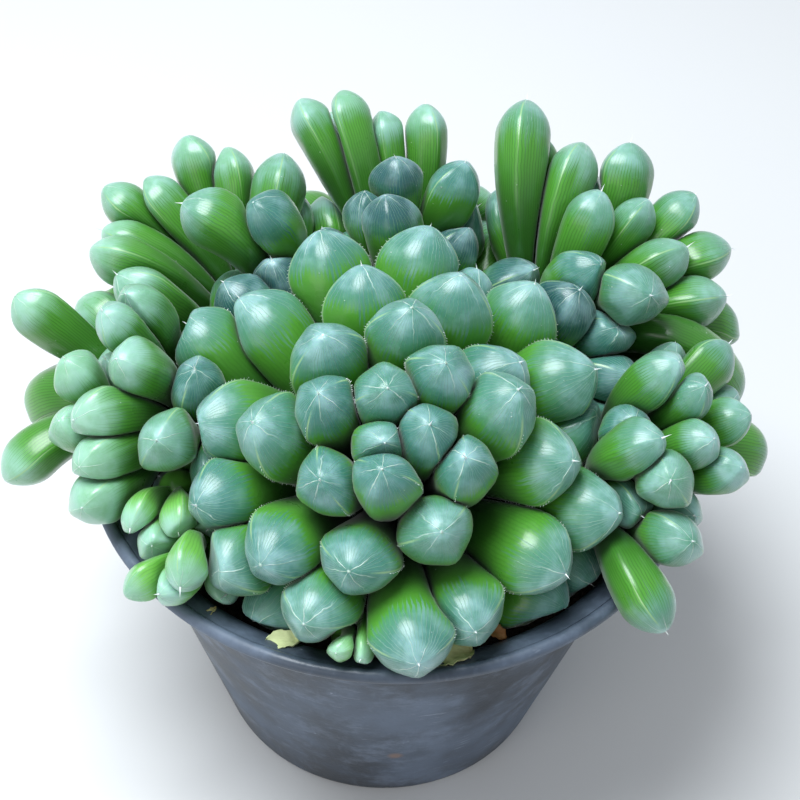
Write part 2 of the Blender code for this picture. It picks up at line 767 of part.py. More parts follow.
def fill_hollows(made):
    """Removes the inner skins of sealed hollows, so that the solid is full there."""
    shape = bmesh.new()
    shape.from_mesh(made.data)
    for group in face_groups(shape):
        if enclosed_volume(group) < 0.0:
            bmesh.ops.delete(shape, geom=group, context="FACES")
    shape.to_mesh(made.data)
    shape.free()


def make_core(name, spec):
    """Makes a rosette's core: a dome, flatter below, on an upright stem."""
    base = rosette_base(spec)
    size = spec["core"]
    stem = size * STEM_SHARE
    bottom = SOIL_TOP - STEM_DEPTH
    profile = [(0.0, bottom), (stem, bottom), (stem, base[2] - size * CORE_FLATNESS)]
    for angle in np.radians(CORE_ANGLES):
        height = size * math.sin(angle) * (CORE_FLATNESS if angle < 0 else 1.0)
        profile.append((size * math.cos(angle), base[2] + height))
    profile.append((0.0, base[2] + size))
    return lathe(name, profile, CORE_SIDES, centre=base[:2])


def make_rosette(name, spec, leaves):
    """Makes a rosette: its leaves, flattened by their neighbours, fused to its core."""
    parts = []
    sides = MAIN_SIDES if name == "rosette_main" else OUTER_SIDES
    for index, leaf in enumerate(leaves):
        if leaf["rosette"] == name:
            rings = leaf_rings(leaf, leaves, SHAFT_STEPS, CAP_ANGLES, sides)
            parts.append(make_object(f"leaf_{index}", np.concatenate(rings), ring_faces(rings)))
    rosette = make_core(name, spec)
    combine(rosette, parts, "UNION")
    fill_hollows(rosette)
    return rosette


def shell_profile():
    """Returns the outline of the pot's wall, floor and lip, from the base to the inner floor."""
    half = WALL / 2
    points = pot_profile()
    runs = unit(np.gradient(points, axis=0))
    side = np.stack([runs[:, 1], -runs[:, 0]], axis=1) * half
    outer = points + side
    outer[0] = (BASE_RADIUS + half, BASE_EDGE)
    inner = points - side
    lip = points[-1] + unit(points[-1] - points[-2]) * half
    profile = [(0.0, 0.0), (BASE_RADIUS + half - BASE_EDGE, 0.0)]
    profile += [tuple(point) for point in outer]
    profile.append(tuple(lip))
    profile += [tuple(point) for point in inner[:0:-1]]
    profile += [(BASE_RADIUS - WALL, FLOOR_THICKNESS), (0.0, FLOOR_THICKNESS)]
    return profile


def plug(name, radius, low, high, sides, centre):
    """Makes an upright cylinder, to cut a hole with."""
    profile = [(0.0, low), (radius, low), (radius, high), (0.0, high)]
    return lathe(name, profile, sides, centre)


def make_pot():
    """Makes the pot: a thin flared shell with a rounded lip and holes in its floor."""
    pot = lathe("pot", shell_profile(), POT_SIDES)
    holes = []
    for index in range(DRAIN_COUNT):
        angle = index * 2 * math.pi / DRAIN_COUNT
        centre = (DRAIN_RING_RADIUS * math.cos(angle), DRAIN_RING_RADIUS * math.sin(angle))
        holes.append(plug(f"drain_{index}", DRAIN_RADIUS, -CUT_PAST,
                          FLOOR_THICKNESS + CUT_PAST, DRAIN_SIDES, centre))
    combine(pot, holes, "DIFFERENCE")
    return pot


def make_soil():
    """Makes the soil: it fills the pot to below the flare, with a hole for each stem."""
    slope = (NECK_RADIUS - BASE_RADIUS) / (POT_HEIGHT - FLARE_HEIGHT)
    bottom = FLOOR_THICKNESS + CLEARANCE
    inset = WALL / 2 + CLEARANCE + FACET_SLACK
    foot = BASE_RADIUS - WALL - CLEARANCE - FACET_SLACK
    brim = BASE_RADIUS + slope * SOIL_TOP - inset
    profile = [(0.0, bottom), (foot, bottom), (brim, SOIL_TOP - SOIL_EDGE)]
    for step in range(SOIL_RINGS - 1, -1, -1):
        profile.append((brim * SOIL_BRIM_SHARE * step / (SOIL_RINGS - 1), SOIL_TOP))
    soil = lathe("soil", profile, SOIL_SIDES)
    for vertex in soil.data.vertices:
        x, y, z = (value / MM for value in vertex.co)
        if z > SOIL_TOP - SOIL_EDGE / 2:
            vertex.co.z = float(soil_height(x, y)) * MM
    low = SOIL_TOP - STEM_DEPTH - CLEARANCE
    holes = []
    for name, spec in ROSETTES.items():
        radius = spec["core"] * STEM_SHARE + CLEARANCE
        holes.append(plug(f"hole_{name}", radius, low, SOIL_TOP + HOLE_RISE, CORE_SIDES,
                          spec["base"]))
    combine(soil, holes, "DIFFERENCE")
    return soil


def finish(made, look):
    """Gives an object its own material and smooth shading."""
    colour, roughness = look
    material = bpy.data.materials.new(made.name)
    material.use_nodes = True
    shader = material.node_tree.nodes["Principled BSDF"]
    shader.inputs["Base Color"].default_value = (*colour, 1.0)
    shader.inputs["Roughness"].default_value = roughness
    made.data.materials.clear()
    made.data.materials.append(material)
    made.data.shade_smooth()
    made.data.set_sharp_from_angle(angle=math.radians(SMOOTH_ANGLE))


def main():
    """Clears the scene and makes the pot, the soil and the rosettes."""
    for old in list(bpy.data.objects):
        bpy.data.objects.remove(old)
    finish(make_pot(), POT_LOOK)
    finish(make_soil(), SOIL_LOOK)
    leaves = plan_leaves()
    for name, spec in ROSETTES.items():
        look = PUP_LOOK if name.startswith("pup") else LEAF_LOOK
        finish(make_rosette(name, spec, leaves), look)


if __name__ == "__main__":
    main()
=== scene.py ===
"""Looks of the potted obtusa haworthia: fine leaves, soil grains, the pot's finish, light, camera.

The leaves' layout repeats the solids' own rules, so each fine leaf lies in the space of its solid.
Sizes are in millimetres until a mesh is made.
"""

import json
import math

import bmesh
import bpy
import numpy as np
from mathutils import Matrix
from mathutils import noise

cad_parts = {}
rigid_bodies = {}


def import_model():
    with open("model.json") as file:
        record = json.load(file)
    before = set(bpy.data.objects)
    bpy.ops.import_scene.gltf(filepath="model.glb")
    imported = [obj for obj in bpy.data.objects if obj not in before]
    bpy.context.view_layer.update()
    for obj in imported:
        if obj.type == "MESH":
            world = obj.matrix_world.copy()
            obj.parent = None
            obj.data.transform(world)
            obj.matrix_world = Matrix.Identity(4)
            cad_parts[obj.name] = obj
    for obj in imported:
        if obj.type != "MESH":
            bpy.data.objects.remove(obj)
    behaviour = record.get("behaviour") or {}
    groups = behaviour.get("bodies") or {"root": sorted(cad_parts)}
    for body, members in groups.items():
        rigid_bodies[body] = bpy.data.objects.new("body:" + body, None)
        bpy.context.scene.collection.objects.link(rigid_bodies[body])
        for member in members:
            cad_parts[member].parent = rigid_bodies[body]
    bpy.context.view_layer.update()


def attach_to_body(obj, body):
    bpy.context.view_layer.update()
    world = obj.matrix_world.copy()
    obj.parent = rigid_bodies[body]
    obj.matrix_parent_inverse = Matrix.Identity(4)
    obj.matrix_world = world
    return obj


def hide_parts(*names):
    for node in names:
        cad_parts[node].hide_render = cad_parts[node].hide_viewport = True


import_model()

MM = 0.001
GOLDEN_ANGLE = math.radians(137.508)

# Pot
RIM_RADIUS = 45.0
POT_HEIGHT = 57.0
BASE_RADIUS = 28.0
NECK_RADIUS = 40.0
FLARE_HEIGHT = 5.0
FLARE_ANGLE = math.radians(62)
FLARE_STEPS = 12
WALL = 1.3
FLOOR_THICKNESS = 1.6
BASE_EDGE = 1.2
DRAIN_RADIUS = 2.8
DRAIN_RING_RADIUS = 17.0
DRAIN_COUNT = 5
DRAIN_SIDES = 10
CUT_PAST = 1.0

# Soil
SOIL_TOP = POT_HEIGHT - 8.0
SOIL_MOUND = 1.0
SOIL_BUMP = 0.35
# Each wave's turns along X and along Y, in radians a millimetre, its start and its share
SOIL_WAVES = ((0.9, 0.8, 1.5, 0.5), (0.9, -0.8, 0.5, 0.5), (0.35, -0.45, 0.0, 0.6))
CLEARANCE = 0.3
STEM_SHARE = 0.42
STEM_DEPTH = 7.0

# Leaves: their form.  Shares are of the leaf's length or of its half width
ROOT_SHARE = 0.34
WIDEST_AT = 0.86
THICKNESS = 0.88
CORNERS = (12, 168, 270)
CORNER_RISE = 0.15
CORNER_SPREAD = 17.0
ROUNDNESS = 0.975
CAP_HEIGHT = 1.1
CAP_POINT = 0.10
CAP_POINT_POWER = 8
OUTWARD_BOW = 0.28
BEND_AT = 0.55
BALL_SHARE = 0.97
CHAIN = 9
FINE_CHAIN = 18

# Leaves: the room between them
LEAF_GAP = 0.35
NODE_GAP = 0.9
POT_GAP = 0.7
POT_FIRMNESS = 2.5
SOIL_GAP = 0.5
FUSED_SHARE = 0.36
SMALLEST_SHARE = 0.12
CLIP_STEPS = 12
NEAR_ENOUGH = 1.5

# Cores
CORE_FLATNESS = 0.5
CORE_RISE = 0.68
ROOT_DEPTH = 0.3
REACH_LIMIT = 1.2

# Layout: leaves bend apart over many small rounds
RELAX_ROUNDS = 160
PAIR_ROUNDS = 10
PAIR_MARGIN = 2.0
RELAX_REACH = 0.76
KIN_REACH = 0.92
STRANGER_GAP = 0.7
RELAX_RATE = 0.35
SIDEWAYS_SHARE = 0.06
HOME_PULL = 0.04
CROWDING = 0.9
SOIL_ROOM = 2.5
SOIL_CROWDING = 0.8

# Layout: where unseen leaves may stand
HIDDEN_SPACING = 0.70
HIDDEN_LEAN = 10.0
HIDDEN_SPREAD = 105.0
HIDDEN_POWER = 0.55
SHORTEST = 0.9
COVER_SHARES = (0.55, 0.8, 1.0)
COVER_DEPTH = 1.0
CLUMP_CENTRE = np.array([0.0, 0.0, POT_HEIGHT])
CLUMP_SHAPE = np.array([0.87, 1.0, 1.15])
CLUMP_DEPTH = 32.0
RIM_MARGIN = 1.0
SINK_IN_POT = 5.0
SINK_BESIDE = 9.0
LOW_SHARE = 0.82
SIZE_SPREAD = 0.06
YOUNGEST_SHARE = 0.72
GROWN_LEAN = 50.0
SEED = 7

# The reference picture's view, 800 pixels square: where it was taken from, as real sizes
VIEW_TARGET = np.array([1.2, 7.0, POT_HEIGHT])
VIEW_DISTANCE = 235.0
VIEW_ELEVATION = math.radians(45)
VIEW_ROLL = math.radians(-2.6)
VIEW_CENTRE = 400
VIEW_FOCAL = VIEW_CENTRE / math.tan(math.radians(15))
SIGHT_REACH = 50.0
SIGHT_STEPS = 800

# Leaf tips as seen in the picture, in pixels, one list for each rosette.  Under "low" are
# shorter leaves, seen deep between the others.
ROSETTES = {
    "rosette_main": {
        "base": (0.5, -10.0), "lean": (0, -33), "reach": (34.0, 34.5), "width": 6.0,
        "core": 7.8, "rise": 0.0, "count": 70, "phase": 20,
        "tips": (
            (186, 322), (240, 300), (326, 339), (363, 270), (411, 316), (388, 392), (322, 398),
            (259, 425), (190, 428), (153, 477), (323, 243), (428, 241), (477, 270),
            (457, 287), (532, 290), (443, 370), (508, 398), (583, 378), (600, 410), (428, 427),
            (463, 458), (385, 447), (382, 468), (322, 480), (206, 505), (267, 561), (350, 568),
            (440, 530), (567, 462), (557, 570), (608, 512), (470, 623), (218, 572), (311, 620),
            (248, 636), (420, 676), (567, 618), (597, 595)),
        "low": ()},
    "rosette_left": {
        "base": (-29.5, 0.5), "lean": (-48, -6), "reach": (30.0, 30.0), "width": 4.5,
        "core": 5.6, "rise": 0.0, "count": 46, "phase": 0,
        "tips": (
            (22, 300), (70, 362), (60, 420), (12, 480), (80, 470), (92, 500), (120, 362),
            (83, 420), (107, 315), (127, 300), (159, 440)),
        "low": ((195, 370), (108, 360))},
    "rosette_back_left": {
        "base": (-22.5, 20.5), "lean": (-26, 20), "reach": (32.0, 30.0), "width": 5.1,
        "core": 5.8, "rise": 0.0, "count": 46, "phase": 60,
        "tips": (
            (190, 145), (228, 155), (145, 180), (116, 198), (100, 255), (180, 206), (249, 205),
            (283, 160)),
        "low": ((218, 280), (290, 193), (267, 259))},
    "rosette_back": {
        "base": (-1.0, 26.0), "lean": (-4, 24), "reach": (34.0, 30.0), "width": 5.0,
        "core": 5.8, "rise": 0.0, "count": 46, "phase": 120,
        "tips": (
            (331, 118), (305, 110), (343, 95), (380, 115), (425, 110), (396, 165), (462, 170),
            (385, 198)),
        "low": ((323, 226), (468, 228), (477, 205))},
    "rosette_back_right": {
        "base": (22.5, 18.5), "lean": (24, 18), "reach": (33.0, 31.0), "width": 5.3,
        "core": 5.8, "rise": 0.0, "count": 48, "phase": 200,
        "tips": (
            (527, 110), (524, 144), (583, 150), (627, 155), (587, 175), (600, 195), (645, 205),
            (690, 200), (685, 250), (712, 255), (715, 300), (641, 300), (577, 292)),
        "low": ((500, 205), (617, 328), (623, 378))},
    "rosette_right": {
        "base": (29.0, -5.5), "lean": (46, -8), "reach": (29.5, 28.5), "width": 4.6,
        "core": 5.6, "rise": 0.0, "count": 46, "phase": 280,
        "tips": (
            (722, 350), (700, 390), (675, 367), (748, 415), (735, 468), (710, 440), (665, 480),
            (658, 440), (685, 538), (660, 625)),
        "low": ((670, 350), (630, 425), (638, 517), (690, 515))},
    "pup_upper": {
        "base": (-30.5, -15.5), "lean": (-45, -30), "reach": (13.5, 13.0), "width": 3.4,
        "core": 3.0, "rise": 7.0, "count": 0, "phase": 40,
        "tips": ((134, 528), (152, 545), (178, 535), (200, 535)),
        "low": ()},
    "pup_lower": {
        "base": (-27.0, -22.5), "lean": (-45, -38), "reach": (14.5, 14.0), "width": 3.6,
        "core": 3.0, "rise": 4.5, "count": 0, "phase": 80,
        "tips": ((137, 588), (158, 592), (180, 588), (218, 605)),
        "low": ()},
    "pup_front": {
        "base": (-6.0, -33.5), "lean": (0, -40), "reach": (10.5, 10.0), "width": 2.6,
        "core": 2.6, "rise": 2.0, "count": 0, "phase": 0,
        "tips": ((333, 657), (355, 672)),
        "low": ()},
}

# Fine leaves
FINE_SIDES = 40
FINE_SHAFT = (0.0, 0.12, 0.24, 0.36, 0.47, 0.57, 0.66, 0.74, 0.81, 0.87, 0.92, 0.96)
FINE_CAP = (6.0, 16.0, 26.0, 36.0, 46.0, 55.0, 63.0, 70.0, 76.0, 81.0, 85.5)
SOFTEN_ROUNDS = 2
# A spot's own share of its softened depth, and those of the spots beside and along
SOFTEN_SHARES = (0.4, 0.3, 0.3)
LEAF_CREASE = math.radians(58)
BRISTLE_LENGTH = (0.5, 1.7)
BRISTLE_RADIUS = 0.13
BRISTLE_SIDES = 5
BRISTLE_CHANCE = 0.8
BRISTLE_TILT = 0.18
TOOTH_RANGE = (0.95, 3.0)
TOOTH_LENGTH = 0.3
TOOTH_SPREAD = (0.5, 1.3)
TOOTH_RADIUS = 0.055
TOOTH_SPACING = 0.55
TOOTH_SIDES = 3
TOOTH_LOST = 0.2
SPIKE_HELPER = np.array([0.3, 0.5, 0.8])
WHITE_MARK = -1.0
WHITE_PLACE = (0.0, 0.0, WHITE_MARK)
CORE_FINE_SIDES = 32
CORE_FINE_ANGLES = (-70, -50, -30, -10, 10, 30, 50, 70, 82)
CORE_PLACE = (5.0, 5.0, 5.0)
CORE_KIND = (0.5, 0.0, 1.0)

# Each rosette's looks: how blue its windows are, and how far they reach, in half widths
LOOKS = {
    "rosette_main": (0.88, 1.26),
    "rosette_left": (0.2, 1.45),
    "rosette_back_left": (0.35, 1.55),
    "rosette_back": (0.35, 1.6),
    "rosette_back_right": (0.58, 1.6),
    "rosette_right": (0.7, 1.5),
    "pup_upper": (0.2, 1.1),
    "pup_lower": (0.3, 1.15),
    "pup_front": (0.0, 0.7),
}
# By distance from the pot's axis: where windows turn green, and within what they get painted shade
GREENEST_OUT = 47.0
BLUEST_IN = 24.0
GREEN_GAIN = 1.3
SHADE_OUT = 40.0
SHADE_RAMP = 12.0
SHADE_GAIN = 0.5
MOST_BLUE_AND_SHADE = 1.5
BLUE_SPREAD = 0.12
WINDOW_SPREAD = (0.88, 1.12)

# Leaf skin: lines that run out from the tip, as their number and their width in half widths
FINE_VEINS = (46, 0.0042)
BOLD_VEINS = (7, 0.0105)
FINGERS = (54, 0.02)
YOUNG_FINGERS = (38, 0.02)
RAY_START = 0.12
RAY_WIDEST = 0.8
EDGE_LINE = 0.042

# Leaf skin: its patterns' scales, per metre and then per half width, and its relief in metres
CLOUD_SCALE = 260.0
SWAY_SCALE = 420.0
HIGHLIGHT_FLECK_SCALE = 1300.0
SPECK_SCALE = 800.0
PIT_SCALE = 900.0
PATCH_SCALE = 3.2
OWN_PATTERN = 40.0
SKIN_RELIEF = 0.00008
LEAF_GLOSS = {
    "IOR": 1.42, "Subsurface_Weight": 0.22, "Subsurface_Scale": 0.003,
    "Subsurface_Radius": (0.35, 0.75, 0.25), "Coat_Weight": 0.35, "Coat_Roughness": 0.26,
    "Sheen_Weight": 0.22, "Sheen_Roughness": 0.35}

# Pot and soil, with the reliefs of their materials in metres
POT_FINE_SIDES = 144
LIP_BEAD = 0.35
FOOT_ANGLES = (0, 30, 60, 90)
BEAD_ANGLES = range(-60, 241, 30)
POT_CREASE = math.radians(40)
POT_RELIEF = 0.00006
# Heights of a paler band along the top of the lip, in metres
RIM_BAND = ((POT_HEIGHT - 2.2) * MM, (POT_HEIGHT - 0.6) * MM)
STAIN_PLACE = (0.0030, -0.0324, 0.0167)
STAIN_REACH = (0.0010, 0.0022)
SOIL_FINE_SIDES = 96
SOIL_FINE_RINGS = 40
SOIL_BRIM_SHARE = 0.99
SOIL_SHOULDER = 1.5
SOIL_TUCK = 0.1
SOIL_RELIEF = 0.0003
# Crumbs of the soil's top: their scale, the noise's layer and their height
CRUMBS = ((0.35, 4.0, 0.9), (1.3, 9.0, 0.45))
GRAIN_COUNT = 1500
GRAIN_SIZE = (0.35, 1.3)
GRAIN_SHRINK = (0.5, 1.0)
GRAIN_STRETCH = (0.6, 1.0)
GRAIN_BUMPS = (0.8, 1.15)
GRAIN_LIFT = 0.2
GRAIN_REACH = 39.0
GRAIN_PALE_CHANCE = 0.05

# Colours, as linear light
GREEN_FRESH = (0.072, 0.27, 0.026)
# Dark green of the stripes, also the painted shade that the lower leaf body darkens to
GREEN_STRIPE_AND_SHADE = (0.013, 0.070, 0.008)
WINDOW_GREEN = (0.17, 0.39, 0.20)
WINDOW_BLUE = (0.052, 0.195, 0.158)
# Dark blue-green painted shade for windows near the clump's middle
WINDOW_PAINTED_SHADE = (0.016, 0.072, 0.080)
# Pale colours of the painted highlight, the sky's reflection on the windows, for blue and for plain
# green leaves
WINDOW_HIGHLIGHT = (0.36, 0.57, 0.60)
TIP_HIGHLIGHT = (0.31, 0.54, 0.42)
YOUNG_GREEN = (0.15, 0.42, 0.065)
YOUNG_PALE = (0.30, 0.58, 0.33)
VEIN_PALE = (0.38, 0.58, 0.42)
VEIN_BRIGHT = (0.72, 0.86, 0.76)
MARGIN_PALE = (0.30, 0.48, 0.22)
BRISTLE_WHITE = (0.86, 0.92, 0.88)
POT_BLACK = (0.013, 0.020, 0.031)
POT_DUST = (0.135, 0.172, 0.235)
POT_SCUFF = (0.32, 0.36, 0.43)
POT_STAIN = (0.20, 0.125, 0.09)
SOIL_DARK = (0.012, 0.009, 0.007)
SOIL_BROWN = (0.060, 0.038, 0.024)
GRAIN_PALE = (0.42, 0.38, 0.32)
STRAW = (0.56, 0.52, 0.24)
STRAW_DARK = (0.34, 0.24, 0.09)
STRAW_PALE = (0.58, 0.66, 0.34)
RUST = (0.30, 0.10, 0.02)
FLOOR_TONE = (0.70, 0.69, 0.68)
# A leaf's body, its window, and the green its body darkens to lower down as painted shade, for grown
# and for young leaves
LEAF_TONES = (GREEN_FRESH, WINDOW_GREEN, GREEN_STRIPE_AND_SHADE)
YOUNG_LEAF_TONES = (YOUNG_GREEN, YOUNG_PALE, GREEN_FRESH)

# Dry remains: the pixel where each lies, its height, length, half width, turn in degrees, and
# how rusty and how pale it is
DRY_REMAINS = (
    ((207, 616), 56.5, 4.0, 0.5, 60, 0.0, 0.0), ((282, 643), 56.2, 4.8, 1.5, 14, 0.0, 1.0),
    ((493, 632), 54.5, 4.0, 1.2, -30, 1.0, 0.0), ((454, 657), 56.6, 5.6, 2.0, 25, 0.0, 0.6))
DRY_SIDES = 12
DRY_RINGS = 14
DRY_CURL = 0.7
DRY_SAG = 0.12
DRY_FLATNESS = 0.3
DRY_ROUGHNESS = 0.06
DRY_BUMPS = (0.8, 1.1)
DRY_END = 0.02
STRAW_RELIEF = 0.0002

# Studio: each lamp's place, size, power and colour, in metres and watts
LAMPS = {
    "overhead": ((-0.16, 0.02, 0.60), 0.36, 5.0, (0.88, 0.95, 1.0)),
    "front_fill": ((-0.35, -0.55, 0.35), 0.6, 1.2, (1.0, 0.98, 0.95)),
}
LAMP_AIM = np.array([0.0, 0.0, 0.06])
SKY_COLOUR = (0.84, 0.91, 1.0, 1.0)
SKY_STRENGTH = 0.55
FLOOR_REACH = 1500.0
FLOOR_ROUGHNESS = 0.6


def unit(vector):
    """Returns a vector, or each row of vectors, at length one."""
    vector = np.asarray(vector, float)
    return vector / np.maximum(np.linalg.norm(vector, axis=-1, keepdims=True), 1e-9)


def around(count):
    """Returns evenly spread angles all the way round."""
    return np.arange(count) * 2 * math.pi / count


def view_axes():
    """Returns the picture's eye point, its forward, right and up axes."""
    back = np.array([0.0, -math.cos(VIEW_ELEVATION), math.sin(VIEW_ELEVATION)])
    flat_right = np.array([1.0, 0.0, 0.0])
    flat_up = np.cross(flat_right, -back)
    right = flat_right * math.cos(VIEW_ROLL) - flat_up * math.sin(VIEW_ROLL)
    up = flat_right * math.sin(VIEW_ROLL) + flat_up * math.cos(VIEW_ROLL)
    return VIEW_TARGET + back * VIEW_DISTANCE, -back, right, up


def sight_line(pixel):
    """Returns the direction in which the eye point sees a pixel."""
    _, forward, right, up = view_axes()
    across = (pixel[0] - VIEW_CENTRE) / VIEW_FOCAL
    upward = (VIEW_CENTRE - pixel[1]) / VIEW_FOCAL
    return unit(forward + right * across + up * upward)


def rosette_axis(spec):
    """Returns the direction in which a rosette's heart points."""
    lean_x, lean_y = (math.sin(math.radians(angle)) for angle in spec["lean"])
    return np.array([lean_x, lean_y, math.sqrt(1.0 - lean_x ** 2 - lean_y ** 2)])


def rosette_base(spec):
    """Returns the centre of a rosette's core, which stands on its stem above the soil."""
    height = SOIL_TOP + SOIL_MOUND + spec["core"] * CORE_RISE + spec["rise"]
    return np.array([*spec["base"], height])


def reach_at(spec, directions):
    """Returns how far from the core the leaf tips lie, in the given directions."""
    cosine = np.clip(directions @ rosette_axis(spec), -1.0, 1.0)
    share = np.minimum(np.arccos(cosine) / math.radians(90), REACH_LIMIT)
    inner, outer = spec["reach"]
    return inner + (outer - inner) * share


def tip_in_space(spec, pixel, shorten):
    """Returns where the line of sight through a pixel first meets the dome of a rosette's tips.

    Where it passes beside the dome, its nearest point to the dome is taken.
    """
    eye = view_axes()[0]
    direction = sight_line(pixel)
    base = rosette_base(spec)
    middle = (base - eye) @ direction
    along = np.linspace(middle - SIGHT_REACH, middle + SIGHT_REACH, SIGHT_STEPS)
    points = eye + along[:, None] * direction
    offsets = points - base
    beyond = np.linalg.norm(offsets, axis=1) - shorten * reach_at(spec, unit(offsets))
    inside = np.flatnonzero(beyond <= 0.0)
    return points[inside[0]] if len(inside) else points[np.argmin(beyond)]


def make_leaf(spec, name, tip, width, sight):
    """Returns a leaf's plan: its root, bend and tip, its half width, and how its tip may move."""
    base = rosette_base(spec)
    axis = rosette_axis(spec)
    chord = tip - base
    length = np.linalg.norm(chord)
    direction = chord / length
    outward = direction - (direction @ axis) * axis
    bow = outward * OUTWARD_BOW
    return {"rosette": name, "root": base + direction * spec["core"] * ROOT_DEPTH,
            "bend": base + unit(direction + bow) * length * BEND_AT, "tip": tip.copy(),
            "width": width, "sight": sight, "axis": axis, "home": tip.copy()}


def leaf_width(spec, tip, random):
    """Returns a leaf's half width: the young leaves near the heart are slimmer."""
    cosine = unit(tip - rosette_base(spec)) @ rosette_axis(spec)
    age = min(math.acos(min(cosine, 1.0)) / math.radians(GROWN_LEAN), 1.0)
    share = YOUNGEST_SHARE + (1.0 - YOUNGEST_SHARE) * age
    return spec["width"] * share * (1.0 + random.uniform(-SIZE_SPREAD, SIZE_SPREAD))


def seen_leaves(name, spec, random):
    """Plans the leaves whose tips the picture shows."""
    leaves = []
    for group, shorten in (("tips", 1.0), ("low", LOW_SHARE)):
        for pixel in spec[group]:
            tip = tip_in_space(spec, pixel, shorten)
            width = leaf_width(spec, tip, random)
            leaves.append(make_leaf(spec, name, tip, width, sight_line(pixel)))
    return leaves


def is_covered(tip, leaves):
    """Tells whether planned leaves stand between a tip and the picture's eye point."""
    eye = view_axes()[0]
    ray = unit(tip - eye)
    for leaf in leaves:
        for share in COVER_SHARES:
            spot = leaf["root"] + (leaf["tip"] - leaf["root"]) * share
            depth = (spot - eye) @ ray
            beside = np.linalg.norm(spot - eye - ray * depth)
            if beside < leaf["width"] * CROWDING and depth < (tip - eye) @ ray - COVER_DEPTH:
                return True
    return False


def stands_free(tip, width):
    """Tells whether a tip is near the clump's outside and not too low for where it stands."""
    if np.linalg.norm((tip - CLUMP_CENTRE) * CLUMP_SHAPE) < CLUMP_DEPTH:
        return False
    if math.hypot(tip[0], tip[1]) < RIM_RADIUS + width + RIM_MARGIN:
        return tip[2] > POT_HEIGHT + width * CROWDING - SINK_IN_POT
    return tip[2] > POT_HEIGHT - SINK_BESIDE


def hidden_leaves(name, spec, planned, random):
    """Plans a rosette's unseen leaves on the golden-angle spiral, wherever there is room."""
    axis = rosette_axis(spec)
    base = rosette_base(spec)
    across = unit(np.cross([0.0, 1.0, 0.0], axis))
    forward = np.cross(axis, across)
    leaves = []
    for step in range(spec["count"]):
        share = (step + 0.5) / spec["count"]
        lean = math.radians(HIDDEN_LEAN + HIDDEN_SPREAD * share ** HIDDEN_POWER)
        turn = math.radians(spec["phase"]) + step * GOLDEN_ANGLE
        radial = math.cos(turn) * across + math.sin(turn) * forward
        direction = math.cos(lean) * axis + math.sin(lean) * radial
        tip = base + direction * reach_at(spec, direction) * random.uniform(SHORTEST, 1.0)
        width = leaf_width(spec, tip, random)
        others = planned + leaves
        room = min(np.linalg.norm(other["tip"] - tip) / (other["width"] + width)
                   for other in others)
        if room > HIDDEN_SPACING and stands_free(tip, width) and is_covered(tip, planned):
            leaves.append(make_leaf(spec, name, tip, width, None))
    return leaves


def curve_points(leaf, shares):
    """Returns points on a leaf's middle line, a curve from its root past its bend to its tip."""
    shares = np.asarray(shares, float)[:, None]
    return ((1 - shares) ** 2 * leaf["root"] + 2 * shares * (1 - shares) * leaf["bend"]
            + shares ** 2 * leaf["tip"])


def curve_headings(leaf, shares):
    """Returns the middle line's direction at each share of its length."""
    shares = np.asarray(shares, float)[:, None]
    first = leaf["bend"] - leaf["root"]
    second = leaf["tip"] - leaf["bend"]
    return unit((1 - shares) * first + shares * second)


def club_width(leaf, shares):
    """Returns a leaf's half width along it: slim at its root and widest near its tip."""
    shares = np.clip(np.asarray(shares, float) / WIDEST_AT, 0.0, 1.0)
    swell = shares * shares * (3 - 2 * shares)
    return leaf["width"] * (ROOT_SHARE + (1 - ROOT_SHARE) * swell)


def cap_start(leaf):
    """Returns the share of the middle line at which the rounded tip begins."""
    length = np.linalg.norm(leaf["tip"] - leaf["root"])
    return 1.0 - CAP_HEIGHT * leaf["width"] / length


def chain_of(leaf, count):
    """Returns a row of balls that fills a leaf: their centres and their half widths."""
    shares = np.linspace(0.0, cap_start(leaf), count)
    return curve_points(leaf, shares), club_width(leaf, shares) * BALL_SHARE


def pot_profile():
    """Returns points on the middle of the pot's wall, as distances from its axis and heights."""
    points = [(BASE_RADIUS, 0.0), (NECK_RADIUS, POT_HEIGHT - FLARE_HEIGHT)]
    for step in range(1, FLARE_STEPS + 1):
        angle = FLARE_ANGLE * step / FLARE_STEPS
        out = (1 - math.cos(angle)) / (1 - math.cos(FLARE_ANGLE))
        rise = math.sin(angle) / math.sin(FLARE_ANGLE)
        points.append((NECK_RADIUS + (RIM_RADIUS - NECK_RADIUS) * out,
                       POT_HEIGHT - FLARE_HEIGHT + FLARE_HEIGHT * rise))
    return np.array(points)


def wall_clearance(points):
    """Returns each point's distance from the pot's wall and the direction away from it."""
    flat = np.stack([np.hypot(points[:, 0], points[:, 1]), points[:, 2]], axis=1)
    profile = pot_profile()
    best = np.full(len(points), 1e9)
    away = np.zeros((len(points), 2))
    for start, end in zip(profile[:-1], profile[1:]):
        run = end - start
        share = np.clip((flat - start) @ run / (run @ run), 0.0, 1.0)
        offset = flat - (start + share[:, None] * run)
        distance = np.linalg.norm(offset, axis=1)
        closer = distance < best
        best[closer] = distance[closer]
        away[closer] = unit(offset[closer])
    radial = np.zeros_like(points)
    radial[:, :2] = unit(points[:, :2])
    direction = radial * away[:, :1]
    direction[:, 2] = away[:, 1]
    return best - WALL, direction


def close_pairs(centres, radii, owner):
    """Returns the pairs of balls of different leaves that are near enough to touch soon."""
    first, second = np.triu_indices(len(centres), 1)
    apart = owner[first] != owner[second]
    first, second = first[apart], second[apart]
    distance = np.linalg.norm(centres[first] - centres[second], axis=1)
    near = distance < radii[first] + radii[second] + PAIR_MARGIN
    return first[near], second[near]


